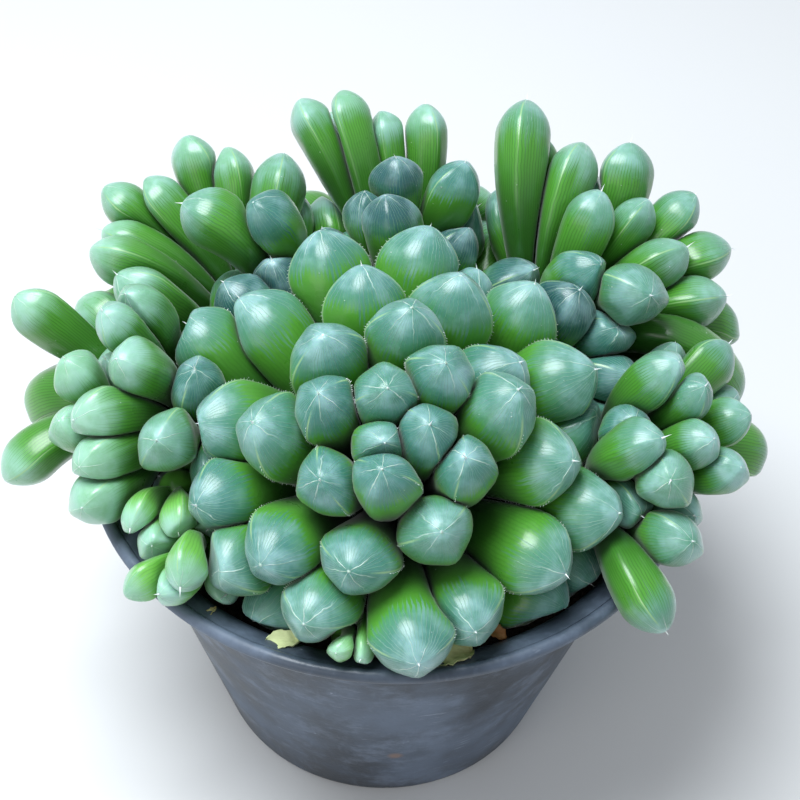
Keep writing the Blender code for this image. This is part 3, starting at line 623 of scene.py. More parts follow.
def pair_push(centres, radii, names, pairs):
    """Returns the push on each ball from the balls that crowd it."""
    first, second = pairs
    gaps = centres[first] - centres[second]
    distance = np.linalg.norm(gaps, axis=1) + 1e-9
    reach = RELAX_REACH * (radii[first] + radii[second])
    reach = np.where(names[first] == names[second], reach * KIN_REACH, reach + STRANGER_GAP)
    step = gaps * (0.5 * np.maximum(reach - distance, 0.0) / distance)[:, None]
    push = np.zeros_like(centres)
    np.add.at(push, first, step)
    np.add.at(push, second, -step)
    return push


def fixed_push(centres, radii, names):
    """Returns the push on each ball from the other rosettes' cores, the pot and the soil."""
    push = np.zeros_like(centres)
    for name, spec in ROSETTES.items():
        offset = centres - rosette_base(spec)
        apart = np.linalg.norm(offset, axis=1)
        deep = np.where(names == name, 0.0, spec["core"] + radii * CROWDING - apart)
        push += offset * (np.maximum(deep, 0.0) / apart)[:, None]
    lift = lip_lift(centres, radii)
    push[:, 2] += lift * POT_FIRMNESS
    clear, direction = wall_clearance(centres)
    pressed = np.maximum(radii + POT_GAP - clear, 0.0) * (lift <= 0.0) * POT_FIRMNESS
    push += direction * pressed[:, None]
    low = np.maximum(SOIL_TOP + SOIL_ROOM + radii * SOIL_CROWDING - centres[:, 2], 0.0)
    push[:, 2] += low * (np.hypot(centres[:, 0], centres[:, 1]) < RIM_RADIUS)
    return push


def lip_lift(centres, radii):
    """Returns how far each ball has to rise to pass over the pot's flared lip."""
    distance = np.hypot(centres[:, 0], centres[:, 1])
    room = radii + POT_GAP
    beyond = np.maximum(distance - RIM_RADIUS, 0.0)
    flare = np.clip((distance + 0.5 * room - NECK_RADIUS) / (RIM_RADIUS - NECK_RADIUS), 0.0, 1.0)
    crest = POT_HEIGHT - FLARE_HEIGHT * (1.0 - flare)
    rise = crest + np.sqrt(np.maximum(room ** 2 - beyond ** 2, 0.0)) - centres[:, 2]
    at_lip = (distance > NECK_RADIUS - 0.5 * room) & (beyond < room)
    return np.maximum(rise, 0.0) * at_lip


def relax(leaves):
    """Bends crowded leaves apart, moving tips seen in the picture mostly along their sight lines."""
    shares = np.linspace(0.0, 1.0, CHAIN)
    owner = np.repeat(np.arange(len(leaves)), CHAIN)
    to_bend = (2 * shares * (1 - shares))[:, None]
    to_tip = (shares ** 2)[:, None]
    names = np.array([leaf["rosette"] for leaf in leaves])[owner]
    pairs = None
    for turn in range(RELAX_ROUNDS):
        chains = [chain_of(leaf, CHAIN) for leaf in leaves]
        centres = np.concatenate([chain[0] for chain in chains])
        radii = np.concatenate([chain[1] for chain in chains])
        if turn % PAIR_ROUNDS == 0:
            pairs = close_pairs(centres, radii, owner)
        push = pair_push(centres, radii, names, pairs) + fixed_push(centres, radii, names)
        for leaf, own in zip(leaves, push.reshape(len(leaves), CHAIN, 3)):
            tip_push = (own * to_tip).sum(axis=0)
            if leaf["sight"] is not None:
                along = (tip_push @ leaf["sight"]) * leaf["sight"]
                tip_push = along + (tip_push - along) * SIDEWAYS_SHARE
            leaf["bend"] += RELAX_RATE * (own * to_bend).sum(axis=0)
            leaf["tip"] += RELAX_RATE * tip_push + HOME_PULL * (leaf["home"] - leaf["tip"])


def plan_leaves():
    """Plans every leaf of the clump, seen and hidden, and settles them beside each other."""
    random = np.random.default_rng(SEED)
    leaves = []
    for name, spec in ROSETTES.items():
        leaves += seen_leaves(name, spec, random)
    for name, spec in ROSETTES.items():
        leaves += hidden_leaves(name, spec, leaves, random)
    relax(leaves)
    for leaf in leaves:
        leaf["balls"] = chain_of(leaf, FINE_CHAIN)
    return leaves


def leaf_frame(leaf, shares):
    """Returns the heading, sideways and upward directions at shares of a leaf's middle line."""
    heading = curve_headings(leaf, shares)
    across = unit(np.cross(leaf["axis"], leaf["tip"] - leaf["root"]))
    upward = unit(np.cross(heading, across))
    return heading, np.cross(upward, heading), upward


def section(angles):
    """Returns a leaf's cross-section as sideways and upward sizes, with edges and a keel below."""
    radius = np.full(len(angles), ROUNDNESS)
    for corner in CORNERS:
        away = (np.degrees(angles) - corner + 180.0) % 360.0 - 180.0
        radius += CORNER_RISE * np.exp(-(away / CORNER_SPREAD) ** 2)
    return radius * np.cos(angles), radius * np.sin(angles) * THICKNESS


def leaf_rays(leaf, shaft_steps, cap_angles, sides):
    """Returns the rings of a leaf as pairs of centre and offset: the shaft's, then the cap's."""
    last = cap_start(leaf)
    shares = np.append(np.asarray(shaft_steps) * last, last)
    centres = curve_points(leaf, shares)
    heading, sideways, upward = leaf_frame(leaf, shares)
    widths = club_width(leaf, shares)
    across, up = section(around(sides))
    outlines = (sideways[:, None, :] * across[None, :, None]
                + upward[:, None, :] * up[None, :, None])
    rings = [(np.repeat(centre[None], sides, axis=0), outline * width)
             for centre, outline, width in zip(centres[:-1], outlines, widths)]
    rim = outlines[-1] * widths[-1]
    height = leaf["width"] * CAP_HEIGHT
    for angle in np.radians(cap_angles):
        point = 1.0 + CAP_POINT * math.sin(angle) ** CAP_POINT_POWER
        offset = rim * math.cos(angle) + heading[-1] * height * math.sin(angle) * point
        rings.append((np.repeat(centres[-1][None], sides, axis=0), offset))
    apex = heading[-1] * height * (1.0 + CAP_POINT)
    rings.append((centres[-1][None], apex[None]))
    return rings


def ball_distance(points, balls):
    """Returns each point's distance from the surface of a row of balls, negative inside."""
    centres, radii = balls
    squared = ((points ** 2).sum(axis=1)[:, None] - 2.0 * points @ centres.T
               + (centres ** 2).sum(axis=1)[None, :])
    return (np.sqrt(np.maximum(squared, 0.0)) - radii[None, :]).min(axis=1)


def soil_height(x, y):
    """Returns the height of the soil's uneven top, which is slightly mounded."""
    mound = SOIL_MOUND * (1.0 - (np.hypot(x, y) / NECK_RADIUS) ** 2)
    bumps = sum(share * np.sin(x * along_x + y * along_y + start)
                for along_x, along_y, start, share in SOIL_WAVES)
    return SOIL_TOP + mound + SOIL_BUMP * bumps


def core_clearance(points, spec):
    """Returns each point's distance from a rosette's core, or from the stem below it."""
    offset = points - rosette_base(spec)
    from_core = np.linalg.norm(offset, axis=1) - spec["core"]
    from_stem = np.hypot(offset[:, 0], offset[:, 1]) - spec["core"] * STEM_SHARE
    return np.where(offset[:, 2] < 0.0, np.minimum(from_core, from_stem), from_core)


def is_clear(points, leaf, near):
    """Tells which points keep clear of other rosettes, the pot and the soil."""
    own = ball_distance(points, leaf["balls"])
    good = wall_clearance(points)[0] > POT_GAP
    over_soil = points[:, 2] > soil_height(points[:, 0], points[:, 1]) + SOIL_GAP
    good &= over_soil | (np.hypot(points[:, 0], points[:, 1]) > RIM_RADIUS)
    for other in near:
        if other["rosette"] != leaf["rosette"]:
            good &= own + NODE_GAP < ball_distance(points, other["balls"])
    for name, spec in ROSETTES.items():
        if name != leaf["rosette"]:
            good &= core_clearance(points, spec) > NODE_GAP
    return good


def is_apart(points, leaf, near):
    """Tells which points keep clear of the other leaves of the same rosette."""
    own = ball_distance(points, leaf["balls"])
    good = np.ones(len(points), bool)
    for other in near:
        if other["rosette"] == leaf["rosette"]:
            good &= own + LEAF_GAP < ball_distance(points, other["balls"])
    return good


def largest_share(test, centres, offsets, leaf, near, least):
    """Returns how far along each offset a leaf's surface may reach, by halving the interval."""
    low = np.full(len(centres), least)
    high = np.ones(len(centres))
    low[test(centres + offsets, leaf, near)] = 1.0
    for _ in range(CLIP_STEPS):
        middle = (low + high) / 2
        good = test(centres + offsets * middle[:, None], leaf, near)
        low = np.where(good, np.maximum(low, middle), low)
        high = np.where(good, high, np.minimum(high, middle))
    return low


def near_leaves(leaf, leaves):
    """Returns the leaves that come close enough to press against this one."""
    centres, radii = leaf["balls"]
    near = []
    for other in leaves:
        if other is not leaf:
            distance = ball_distance(centres, other["balls"]) - radii
            if distance.min() < NEAR_ENOUGH:
                near.append(other)
    return near


def ring_faces(rings):
    """Returns the faces of a closed form: an end face, bands between rings, and a pointed end."""
    sides = len(rings[0])
    faces = [tuple(reversed(range(sides)))]
    for band in range(len(rings) - 2):
        start = band * sides
        for side in range(sides):
            after = (side + 1) % sides
            faces.append((start + side, start + after, start + sides + after,
                          start + sides + side))
    start = (len(rings) - 2) * sides
    faces += [(start + side, start + (side + 1) % sides, start + sides) for side in range(sides)]
    return faces


def add_object(name, data):
    """Makes an object and puts it in the scene."""
    made = bpy.data.objects.new(name, data)
    bpy.context.scene.collection.objects.link(made)
    return made


def make_object(name, points, faces):
    """Makes an object from points in millimetres, with its faces pointing outwards."""
    mesh = bpy.data.meshes.new(name)
    mesh.from_pydata([tuple(point * MM) for point in np.asarray(points)], [], faces)
    shape = bmesh.new()
    shape.from_mesh(mesh)
    bmesh.ops.recalc_face_normals(shape, faces=shape.faces)
    shape.to_mesh(mesh)
    shape.free()
    return add_object(name, mesh)


def lathe(name, profile, sides, centre=(0.0, 0.0)):
    """Makes a solid by turning a profile of distances and heights about an upright axis.

    A profile that starts and ends on the axis makes a solid body.
    """
    points = []
    rings = []
    for distance, height in profile:
        count = 1 if distance == 0.0 else sides
        rings.append(range(len(points), len(points) + count))
        for angle in around(count):
            points.append((centre[0] + distance * math.cos(angle),
                           centre[1] + distance * math.sin(angle), height))
    faces = []
    for lower, upper in zip(rings[:-1], rings[1:]):
        for side in range(sides):
            after = (side + 1) % sides
            corners = [lower[side % len(lower)], lower[after % len(lower)],
                       upper[after % len(upper)], upper[side % len(upper)]]
            faces.append(tuple(dict.fromkeys(corners)))
    return make_object(name, np.array(points), faces)


def combine(base, parts, operation):
    """Joins parts to a base, or cuts them from it, by one Boolean, and removes the parts."""
    group = bpy.data.collections.new(base.name + "_parts")
    bpy.context.scene.collection.children.link(group)
    for part in parts:
        bpy.context.scene.collection.objects.unlink(part)
        group.objects.link(part)
    modifier = base.modifiers.new("Combine", "BOOLEAN")
    modifier.operation = operation
    modifier.operand_type = "COLLECTION"
    modifier.collection = group
    modifier.solver = "EXACT"
    bpy.context.view_layer.update()
    evaluated = base.evaluated_get(bpy.context.evaluated_depsgraph_get())
    mesh = bpy.data.meshes.new_from_object(evaluated)
    base.modifiers.clear()
    base.data = mesh
    for part in list(group.objects):
        bpy.data.objects.remove(part)
    bpy.data.collections.remove(group)


def smooth_grid(share, count, sides):
    """Softens the creases where leaves press together, over the rings of a leaf's surface."""
    grid = share[:count * sides].reshape(count, sides)
    for _ in range(SOFTEN_ROUNDS):
        beside = (np.roll(grid, 1, axis=1) + np.roll(grid, -1, axis=1)) / 2
        along = grid.copy()
        along[1:-1] = (grid[:-2] + grid[2:]) / 2
        grid = sum(share * part for share, part in zip(SOFTEN_SHARES, (grid, beside, along)))
    softened = share.copy()
    softened[:count * sides] = grid.ravel()
    return softened


def fine_rings(leaf, leaves):
    """Returns a fine leaf's rings of points, flattened where its neighbours press on it."""
    near = near_leaves(leaf, leaves)
    rays = leaf_rays(leaf, FINE_SHAFT, FINE_CAP, FINE_SIDES)
    centres = np.concatenate([centre for centre, _ in rays])
    offsets = np.concatenate([offset for _, offset in rays])
    share = largest_share(is_apart, centres, offsets, leaf, near, FUSED_SHARE)
    share = np.minimum(share, largest_share(is_clear, centres, offsets, leaf, near,
                                            SMALLEST_SHARE))
    share = smooth_grid(share, len(rays) - 1, FINE_SIDES)
    points = centres + offsets * share[:, None]
    counts = np.cumsum([len(centre) for centre, _ in rays])[:-1]
    return np.split(points, counts)


def tip_distances(leaf):
    """Returns each ring's distance from the leaf's tip along its skin, in half widths."""
    last = cap_start(leaf)
    length = np.linalg.norm(leaf["tip"] - leaf["root"]) / leaf["width"]
    outline = []
    for step in FINE_SHAFT:
        radius = club_width(leaf, [step * last])[0] / leaf["width"]
        outline.append((radius, (step - 1.0) * last * length))
    for angle in np.radians(FINE_CAP):
        outline.append((math.cos(angle), CAP_HEIGHT * math.sin(angle)))
    outline.append((0.0, CAP_HEIGHT * (1.0 + CAP_POINT)))
    runs = np.linalg.norm(np.diff(np.array(outline), axis=0), axis=1)
    return np.append(np.cumsum(runs[::-1])[::-1], 0.0)


def cone(base, direction, length, radius, sides):
    """Returns the points and faces of a thin closed spike."""
    across = unit(np.cross(direction, SPIKE_HELPER))
    beyond = np.cross(direction, across)
    turns = around(sides)
    ring = base + radius * (np.cos(turns)[:, None] * across + np.sin(turns)[:, None] * beyond)
    points = np.vstack([ring, base + direction * length])
    faces = [tuple(reversed(range(sides)))]
    faces += [(side, (side + 1) % sides, sides) for side in range(sides)]
    return points, faces


class Gather:
    """Collects the points, faces and marks of many closed forms for one mesh."""

    def __init__(self, *titles):
        self.points = []
        self.faces = []
        self.marks = {title: [] for title in titles}
        self.count = 0

    def add(self, points, faces, *marks):
        """Adds one form, with a mark of each title for every point or for all its points."""
        self.faces += [tuple(corner + self.count for corner in face) for face in faces]
        self.points.append(points)
        for rows, mark in zip(self.marks.values(), marks):
            rows.append(np.broadcast_to(mark, (len(points), 3)))
        self.count += len(points)

    def build(self, name):
        """Makes the object, with its marks as the mesh's attributes."""
        made = make_object(name, np.concatenate(self.points), self.faces)
        for title, rows in self.marks.items():
            layer = made.data.attributes.new(title, "FLOAT_VECTOR", "POINT")
            layer.data.foreach_set("vector", np.concatenate(rows).astype(np.float32).ravel())
        return made


def leaf_kind(leaf, random):
    """Returns a leaf's own chance value, its blueness and its window's edge; blueness above one
    stands for painted shade near the clump's middle.
    """
    name = leaf["rosette"]
    blue, edge = LOOKS[name]
    if name != "rosette_main" and not name.startswith("pup"):
        out = math.hypot(leaf["tip"][0], leaf["tip"][1])
        share = np.clip((out - BLUEST_IN) / (GREENEST_OUT - BLUEST_IN), 0.0, 1.0)
        blue = 1.0 + (blue - 1.0) * GREEN_GAIN * share
        # Painted shade on this rosette's leaves near the clump's middle, where the main rosette
        # shades them
        blue += SHADE_GAIN * float(np.clip((SHADE_OUT - out) / SHADE_RAMP, 0.0, 1.0))
    blue = float(np.clip(blue + random.uniform(-BLUE_SPREAD, BLUE_SPREAD), 0.0, MOST_BLUE_AND_SHADE))
    return random.uniform(0.0, 1.0), blue, edge * random.uniform(*WINDOW_SPREAD)


def add_teeth(gather, rings, distances, kind, random):
    """Adds the small white teeth along a leaf's two upper edges, below its tip."""
    near, far = TOOTH_RANGE
    chosen = [ring for ring, distance in zip(rings[:-1], distances) if near < distance < far]
    for corner in CORNERS[:2]:
        column = round(corner * FINE_SIDES / 360)
        line = np.array([ring[column] for ring in chosen])
        middle = np.array([ring.mean(axis=0) for ring in chosen])
        runs = np.linalg.norm(np.diff(line, axis=0), axis=1)
        marks = np.concatenate([[0.0], np.cumsum(runs)])
        for place in np.arange(0.0, marks[-1], TOOTH_SPACING):
            if random.uniform() < TOOTH_LOST:
                continue
            spot = [np.interp(place, marks, line[:, axis]) for axis in range(3)]
            heart = [np.interp(place, marks, middle[:, axis]) for axis in range(3)]
            outward = unit(np.array(spot) - np.array(heart))
            length = TOOTH_LENGTH * random.uniform(*TOOTH_SPREAD)
            base = np.array(spot) - outward * TOOTH_RADIUS
            points, faces = cone(base, outward, length, TOOTH_RADIUS, TOOTH_SIDES)
            gather.add(points, faces, WHITE_PLACE, kind)


def add_leaf(gather, leaf, leaves, random):
    """Adds a fine leaf with its bristle and, on the main rosette, with its teeth."""
    kind = leaf_kind(leaf, random)
    rings = fine_rings(leaf, leaves)
    distances = tip_distances(leaf)
    turns = around(FINE_SIDES)
    places = [np.stack([np.cos(turns), np.sin(turns), np.full(FINE_SIDES, far)], axis=1)
              for far in distances[:-1]]
    places.append(np.zeros((1, 3)))
    gather.add(np.concatenate(rings), ring_faces(rings), np.concatenate(places), kind)
    heading = curve_headings(leaf, [1.0])[0]
    if random.uniform() < BRISTLE_CHANCE:
        tilt = unit(heading + random.normal(0.0, BRISTLE_TILT, 3))
        length = random.uniform(*BRISTLE_LENGTH)
        points, faces = cone(rings[-1][0] - heading * BRISTLE_RADIUS, tilt, length,
                             BRISTLE_RADIUS, BRISTLE_SIDES)
        gather.add(points, faces, WHITE_PLACE, kind)
    if leaf["rosette"] == "rosette_main":
        add_teeth(gather, rings, distances, kind, random)


def make_fine_rosette(name, spec, leaves, random):
    """Makes a rosette's fine leaves with their bristles and teeth, and its core."""
    gather = Gather("leaf_place", "leaf_kind")
    for leaf in leaves:
        if leaf["rosette"] == name:
            add_leaf(gather, leaf, leaves, random)
    add_core(gather, spec)
    made = gather.build("leaves_" + name)
    made.data.shade_smooth()
    made.data.set_sharp_from_angle(angle=LEAF_CREASE)
    return made


def add_core(gather, spec):
    """Adds a rosette's smooth core and stem."""
    base = rosette_base(spec)
    size = spec["core"]
    stem = size * STEM_SHARE
    profile = [(stem, SOIL_TOP - STEM_DEPTH), (stem, base[2] - size * CORE_FLATNESS)]
    for angle in np.radians(CORE_FINE_ANGLES):
        height = size * math.sin(angle) * (CORE_FLATNESS if angle < 0 else 1.0)
        profile.append((size * math.cos(angle), base[2] + height))
    turns = around(CORE_FINE_SIDES)
    rings = [np.stack([base[0] + out * np.cos(turns), base[1] + out * np.sin(turns),
                       np.full(CORE_FINE_SIDES, height)], axis=1) for out, height in profile]
    rings.append(np.array([[base[0], base[1], base[2] + size]]))
    gather.add(np.concatenate(rings), ring_faces(rings), CORE_PLACE, CORE_KIND)


class Value:
    """An output of a material's node, to be reckoned with like a number."""

    def __init__(self, graph, socket):
        self.graph = graph
        self.socket = socket

    def __add__(self, other):
        return self.graph.math("ADD", self, other)

    def __sub__(self, other):
        return self.graph.math("SUBTRACT", self, other)

    def __rsub__(self, other):
        return self.graph.math("SUBTRACT", other, self)

    def __mul__(self, other):
        return self.graph.math("MULTIPLY", self, other)

    def __rtruediv__(self, other):
        return self.graph.math("DIVIDE", other, self)


class Graph:
    """Builds a material's nodes; values and numbers may be mixed as inputs."""

    def __init__(self, name):
        self.material = bpy.data.materials.new(name)
        self.material.use_nodes = True
        self.tree = self.material.node_tree
        self.shader = self.tree.nodes["Principled BSDF"]

    def put(self, socket, value):
        """Links or sets one input."""
        if isinstance(value, Value):
            self.tree.links.new(value.socket, socket)
        elif isinstance(value, tuple) and len(value) == 3 and socket.type == "RGBA":
            socket.default_value = (*value, 1.0)
        else:
            socket.default_value = value

    def node(self, kind, inputs, output=0, **settings):
        """Adds a node with its settings and inputs, and returns one of its outputs."""
        made = self.tree.nodes.new("ShaderNode" + kind)
        for title, value in settings.items():
            setattr(made, title, value)
        for title, value in inputs.items():
            self.put(made.inputs[title], value)
        return Value(self, made.outputs[output])

    def math(self, operation, *values):
        """Returns the result of a Math node."""
        return self.node("Math", dict(enumerate(values)), operation=operation)

    def step(self, value, low, high):
        """Returns 0 below low and 1 above high, smooth between."""
        inputs = dict(enumerate((value, low, high, 0.0, 1.0)))
        return self.node("MapRange", inputs, interpolation_type="SMOOTHSTEP")

    def below(self, value, low, high):
        """Returns 1 below low and 0 above high, smooth between."""
        return 1.0 - self.step(value, low, high)

    def mix(self, share, first, second):
        """Returns a blend of two colours."""
        return self.node("Mix", {0: share, 6: first, 7: second}, 2, data_type="RGBA")

    def layers(self, colour, *coats):
        """Lays colours over a first one, each by its own share."""
        for share, tone in coats:
            colour = self.mix(share, colour, tone)
        return colour

    def split(self, vector):
        """Returns the three parts of a vector."""
        made = self.node("SeparateXYZ", {0: vector}).socket.node
        return [Value(self, socket) for socket in made.outputs]

    def attribute(self, name):
        """Returns the three parts of a mesh attribute."""
        return self.split(self.node("Attribute", {}, "Vector", attribute_name=name))

    def join(self, *values):
        """Returns a vector made from three parts."""
        return self.node("CombineXYZ", dict(enumerate(values)))

    def place(self):
        """Returns the surface's place in the object, in metres."""
        return self.node("TexCoord", {}, "Object")

    def stretch(self, vector, scale):
        """Returns a vector scaled along each axis."""
        return self.node("VectorMath", {0: vector, 1: scale}, operation="MULTIPLY")

    def distance(self, first, second):
        """Returns how far two places lie apart."""
        return self.node("VectorMath", {0: first, 1: second}, "Value", operation="DISTANCE")

    def noise(self, vector, scale, detail=3.0, roughness=0.5):
        """Returns a Noise texture's value."""
        return self.node("TexNoise", {"Vector": vector, "Scale": scale, "Detail": detail,
                                      "Roughness": roughness})

    def cells(self, vector, scale):
        """Returns the distance from the nearest of many scattered spots."""
        return self.node("TexVoronoi", {"Vector": vector, "Scale": scale}, "Distance")

    def bump(self, height, distance, strength=1.0):
        """Shapes the surface's shading by a height."""
        self.set(Normal=self.node("Bump", {"Height": height, "Distance": distance,
                                           "Strength": strength}))

    def set(self, **values):
        """Sets the shader's inputs, by names with underscores for spaces."""
        for name, value in values.items():
            self.put(self.shader.inputs[name.replace("_", " ")], value)


class Skin(Graph):
    """A leaf's skin, from each spot's place on the leaf and from the leaf's own kind."""

    def __init__(self, name, young):
        super().__init__(name)
        self.young = young
        self.across, self.upward, self.from_tip = self.attribute("leaf_place")
        self.chance, self.kind, self.edge = self.attribute("leaf_kind")
        self.blue = self.math("MINIMUM", self.kind, 1.0)
        self.plain = 1.0 - self.blue
        self.turn = self.math("ARCTAN2", self.upward, self.across)
        self.spot = self.place()
        self.own = self.join(self.across, self.upward, self.chance * OWN_PATTERN)
        self.cloud = self.noise(self.spot, CLOUD_SCALE)
        self.sway = self.noise(self.spot, SWAY_SCALE, 2.0) - 0.5
        self.patchy = self.noise(self.own, PATCH_SCALE, 2.0)
        self.wide, _ = self.rays(self.sway, YOUNG_FINGERS if young else FINGERS)
        self.limit = self.window_limit()

    def rays(self, wobble, lines):
        """Returns how near lines that run out from the tip are, and the lines, equally wide."""
        count, width = lines
        phase = self.turn * (count / (2 * math.pi)) + self.chance * float(count) + wobble
        near = self.math("ABSOLUTE", self.math("FRACT", phase) - 0.5) * 2.0
        room = self.math("MINIMUM", width * count / (self.from_tip + RAY_START), RAY_WIDEST)
        return near, self.step(near, 1.0 - room, 1.0)

    def corner_lines(self):
        """Returns thin lines along the leaf's two upper edges, clear of its tip."""
        width = EDGE_LINE / (self.from_tip + 0.3)
        low = 1.0 - width * width
        lines = 0.0
        for corner in CORNERS[:2]:
            away = self.math("COSINE", self.turn - math.radians(corner))
            lines = self.math("MAXIMUM", lines, self.step(away, low, 1.0))
        return lines * self.step(self.from_tip, 0.45, 0.9) * self.below(self.from_tip, 1.6, 3.2)

    def window_limit(self):
        """Returns how far from the tip the clear window reaches, in uneven fine fingers."""
        broad = self.noise(self.own, 1.7, 1.0) - 0.5
        length = self.step(self.patchy, 0.42, 0.68) * 0.34 + 0.10
        fingers = self.step(self.wide, 0.0, 1.0) * length * (self.plain + 1.0)
        return self.edge + broad * 0.5 + self.upward * 0.10 + fingers * self.edge

    def stripes(self):
        """Returns the green stripes that run into the window from its edge."""
        near_edge = self.step(self.from_tip, self.limit * 0.35, self.limit * 0.9)
        stripe = self.step(self.wide, 0.5, 0.8) * near_edge * self.step(self.plain, 0.02, 0.4)
        return stripe * (0.5 if self.young else 0.9)

    def window_tone(self, fresh, pale):
        """Returns the window's colour: blue near the clump's middle and green at its edge, with
        painted shade on the outer rosettes' leaves near the middle, patches of painted highlight and
        a green fringe.
        """
        return self.layers(
            self.mix(self.blue, pale, WINDOW_BLUE),
            # Painted shade on the windows of leaves near the clump's middle
            (self.step(self.kind, 1.0, MOST_BLUE_AND_SHADE) * 0.8, WINDOW_PAINTED_SHADE),
            # Patches of painted highlight of the sky over the whole window
            (self.step(self.cloud, 0.45, 0.72) * 0.34, WINDOW_HIGHLIGHT),
            (self.step(self.from_tip, self.limit * 0.55, self.limit) * 0.38, fresh))

    def body_and_window(self):
        """Returns the colour of the green body with its clear window; the body darkens away from the
        tip as painted shade.
        """
        fresh, pale, dark = YOUNG_LEAF_TONES if self.young else LEAF_TONES
        # Painted shade: the body darkens from the window's edge towards the root, where the leaves
        # shade each other
        depth = self.step(self.from_tip, self.edge * 1.2, self.edge * 2.8)
        body = self.mix(depth * (1.0 - self.plain * 0.45), fresh, dark)
        softness = self.plain * 0.16 + 0.14
        window = self.below(self.from_tip, self.limit - softness, self.limit + softness)
        stripe = self.stripes()
        shade = self.mix(stripe * 0.45, body, GREEN_STRIPE_AND_SHADE)
        return self.mix(window * (1.0 - stripe), shade, self.window_tone(fresh, pale))

    def painted_highlight(self):
        """Returns the share of painted highlight: the sky's pale reflection in patches with fine
        flecks, densest at the tip.
        """
        near = self.below(self.from_tip, 0.05, self.plain * 1.3 + 0.9)
        highlight_flecks = self.noise(self.spot, HIGHLIGHT_FLECK_SCALE, 4.0, 0.7) - 0.5
        painted_highlight = near * (self.step(self.cloud, 0.3, 0.7) + highlight_flecks + self.plain * 0.5)
        painted_highlight = self.math("MINIMUM", self.math("MAXIMUM", painted_highlight, 0.0), 1.0)
        return painted_highlight * (self.plain * 0.2 + 0.55)

    def fine_veins(self):
        """Returns the hair-fine veins of the window, fainter on plain green leaves."""
        _, fine = self.rays(self.sway * 1.6, FINE_VEINS)
        reach = self.below(self.from_tip, self.limit * 0.7, self.limit * 1.15)
        reach = reach * self.step(self.from_tip, 0.12, 0.5)
        return fine * reach * self.step(self.patchy, 0.25, 0.6) * (1.0 - self.plain * 0.75)

    def bold_veins(self):
        """Returns the few bold veins that meet in a pale spot at the tip."""
        _, bold = self.rays(self.sway * 0.55, BOLD_VEINS)
        close = self.below(self.from_tip, self.patchy * 0.3, self.patchy * 1.9)
        bold = bold * close * self.step(self.patchy, 0.38, 0.6)
        return self.math("MAXIMUM", bold, self.below(self.from_tip, 0.02, 0.11) * 0.8)

    def specks(self):
        """Returns a few tiny specks."""
        spots = self.below(self.cells(self.spot, SPECK_SCALE), 0.04, 0.10)
        return spots * self.step(self.noise(self.spot, 330.0, 1.0), 0.55, 0.68)


def leaf_material(name, young):
    """Makes the leaf skin: a clear window with veins, stripes at its edge, and a green body."""
    skin = Skin(name, young)
    fine, bold, specks = skin.fine_veins(), skin.bold_veins(), skin.specks()
    colour = skin.layers(
        skin.body_and_window(),
        # Painted highlight of the sky near the tip
        (skin.painted_highlight(), skin.mix(skin.plain, WINDOW_HIGHLIGHT, TIP_HIGHLIGHT)),
        (fine * 0.45, VEIN_PALE),
        (bold * 0.8, VEIN_BRIGHT),
        (skin.corner_lines() * 0.75, MARGIN_PALE),
        (specks * 0.5, BRISTLE_WHITE),
        (skin.math("LESS_THAN", skin.from_tip, WHITE_MARK / 2), BRISTLE_WHITE))
    skin.set(Base_Color=colour, Roughness=skin.cloud * 0.22 + 0.20, **LEAF_GLOSS)
    pits = skin.noise(skin.spot, PIT_SCALE) * 0.5
    skin.bump(fine * 0.6 + specks + bold + pits, SKIN_RELIEF)
    return skin.material


def pot_material():
    """Makes the pot's thin black plastic: dusty, with pale water marks and light scuffs."""
    graph = Graph("pot_plastic")
    place = graph.place()
    cloud = graph.noise(place, 45.0, 5.0, 0.6)
    smear = graph.noise(graph.stretch(place, (1.0, 1.0, 1.3)), 100.0, 5.0, 0.7)
    streak = graph.noise(graph.stretch(place, (0.5, 0.5, 4.0)), 300.0, 4.0, 0.75)
    drip = graph.noise(graph.stretch(place, (3.0, 3.0, 0.3)), 240.0, 3.0, 0.6)
    dust = graph.step(cloud, 0.36, 0.68) * 0.7
    scuff = graph.step(streak, 0.58, 0.76) * graph.step(cloud, 0.40, 0.62)
    rim = graph.step(graph.split(place)[2], *RIM_BAND)
    spots = graph.below(graph.cells(place, 260.0), 0.03, 0.08) * graph.step(smear, 0.5, 0.6)
    stain = graph.below(graph.distance(place, STAIN_PLACE) + smear * 0.001, *STAIN_REACH)
    colour = graph.layers(
        POT_BLACK,
        (dust, POT_DUST),
        (graph.step(smear, 0.48, 0.70) * 0.65, POT_DUST),
        (graph.step(drip, 0.56, 0.78) * 0.25, POT_DUST),
        (scuff * 0.6, POT_SCUFF),
        # A paler band along the top of the lip, in the dust's colour
        (rim * 0.2, POT_DUST),
        (spots * 0.6, POT_SCUFF),
        (stain * 0.75, POT_STAIN))
    graph.set(Base_Color=colour, Roughness=dust * 0.4 + 0.36, IOR=1.48)
    graph.bump(graph.noise(place, 1500.0, 2.0) + smear * 0.6, POT_RELIEF, 0.6)
    return graph.material


def soil_material():
    """Makes dark damp soil; single grains differ in tone."""
    graph = Graph("potting_soil")
    tone, pale, _ = graph.attribute("grain_tone")
    speck = graph.noise(graph.place(), 900.0, 5.0, 0.7)
    colour = graph.layers(SOIL_DARK, (graph.step(speck, 0.3, 0.7), SOIL_BROWN),
                          (tone * 0.5, SOIL_DARK), (pale * 0.8, GRAIN_PALE))
    graph.set(Base_Color=colour, Roughness=speck * 0.2 + 0.75)
    graph.bump(speck, SOIL_RELIEF)
    return graph.material


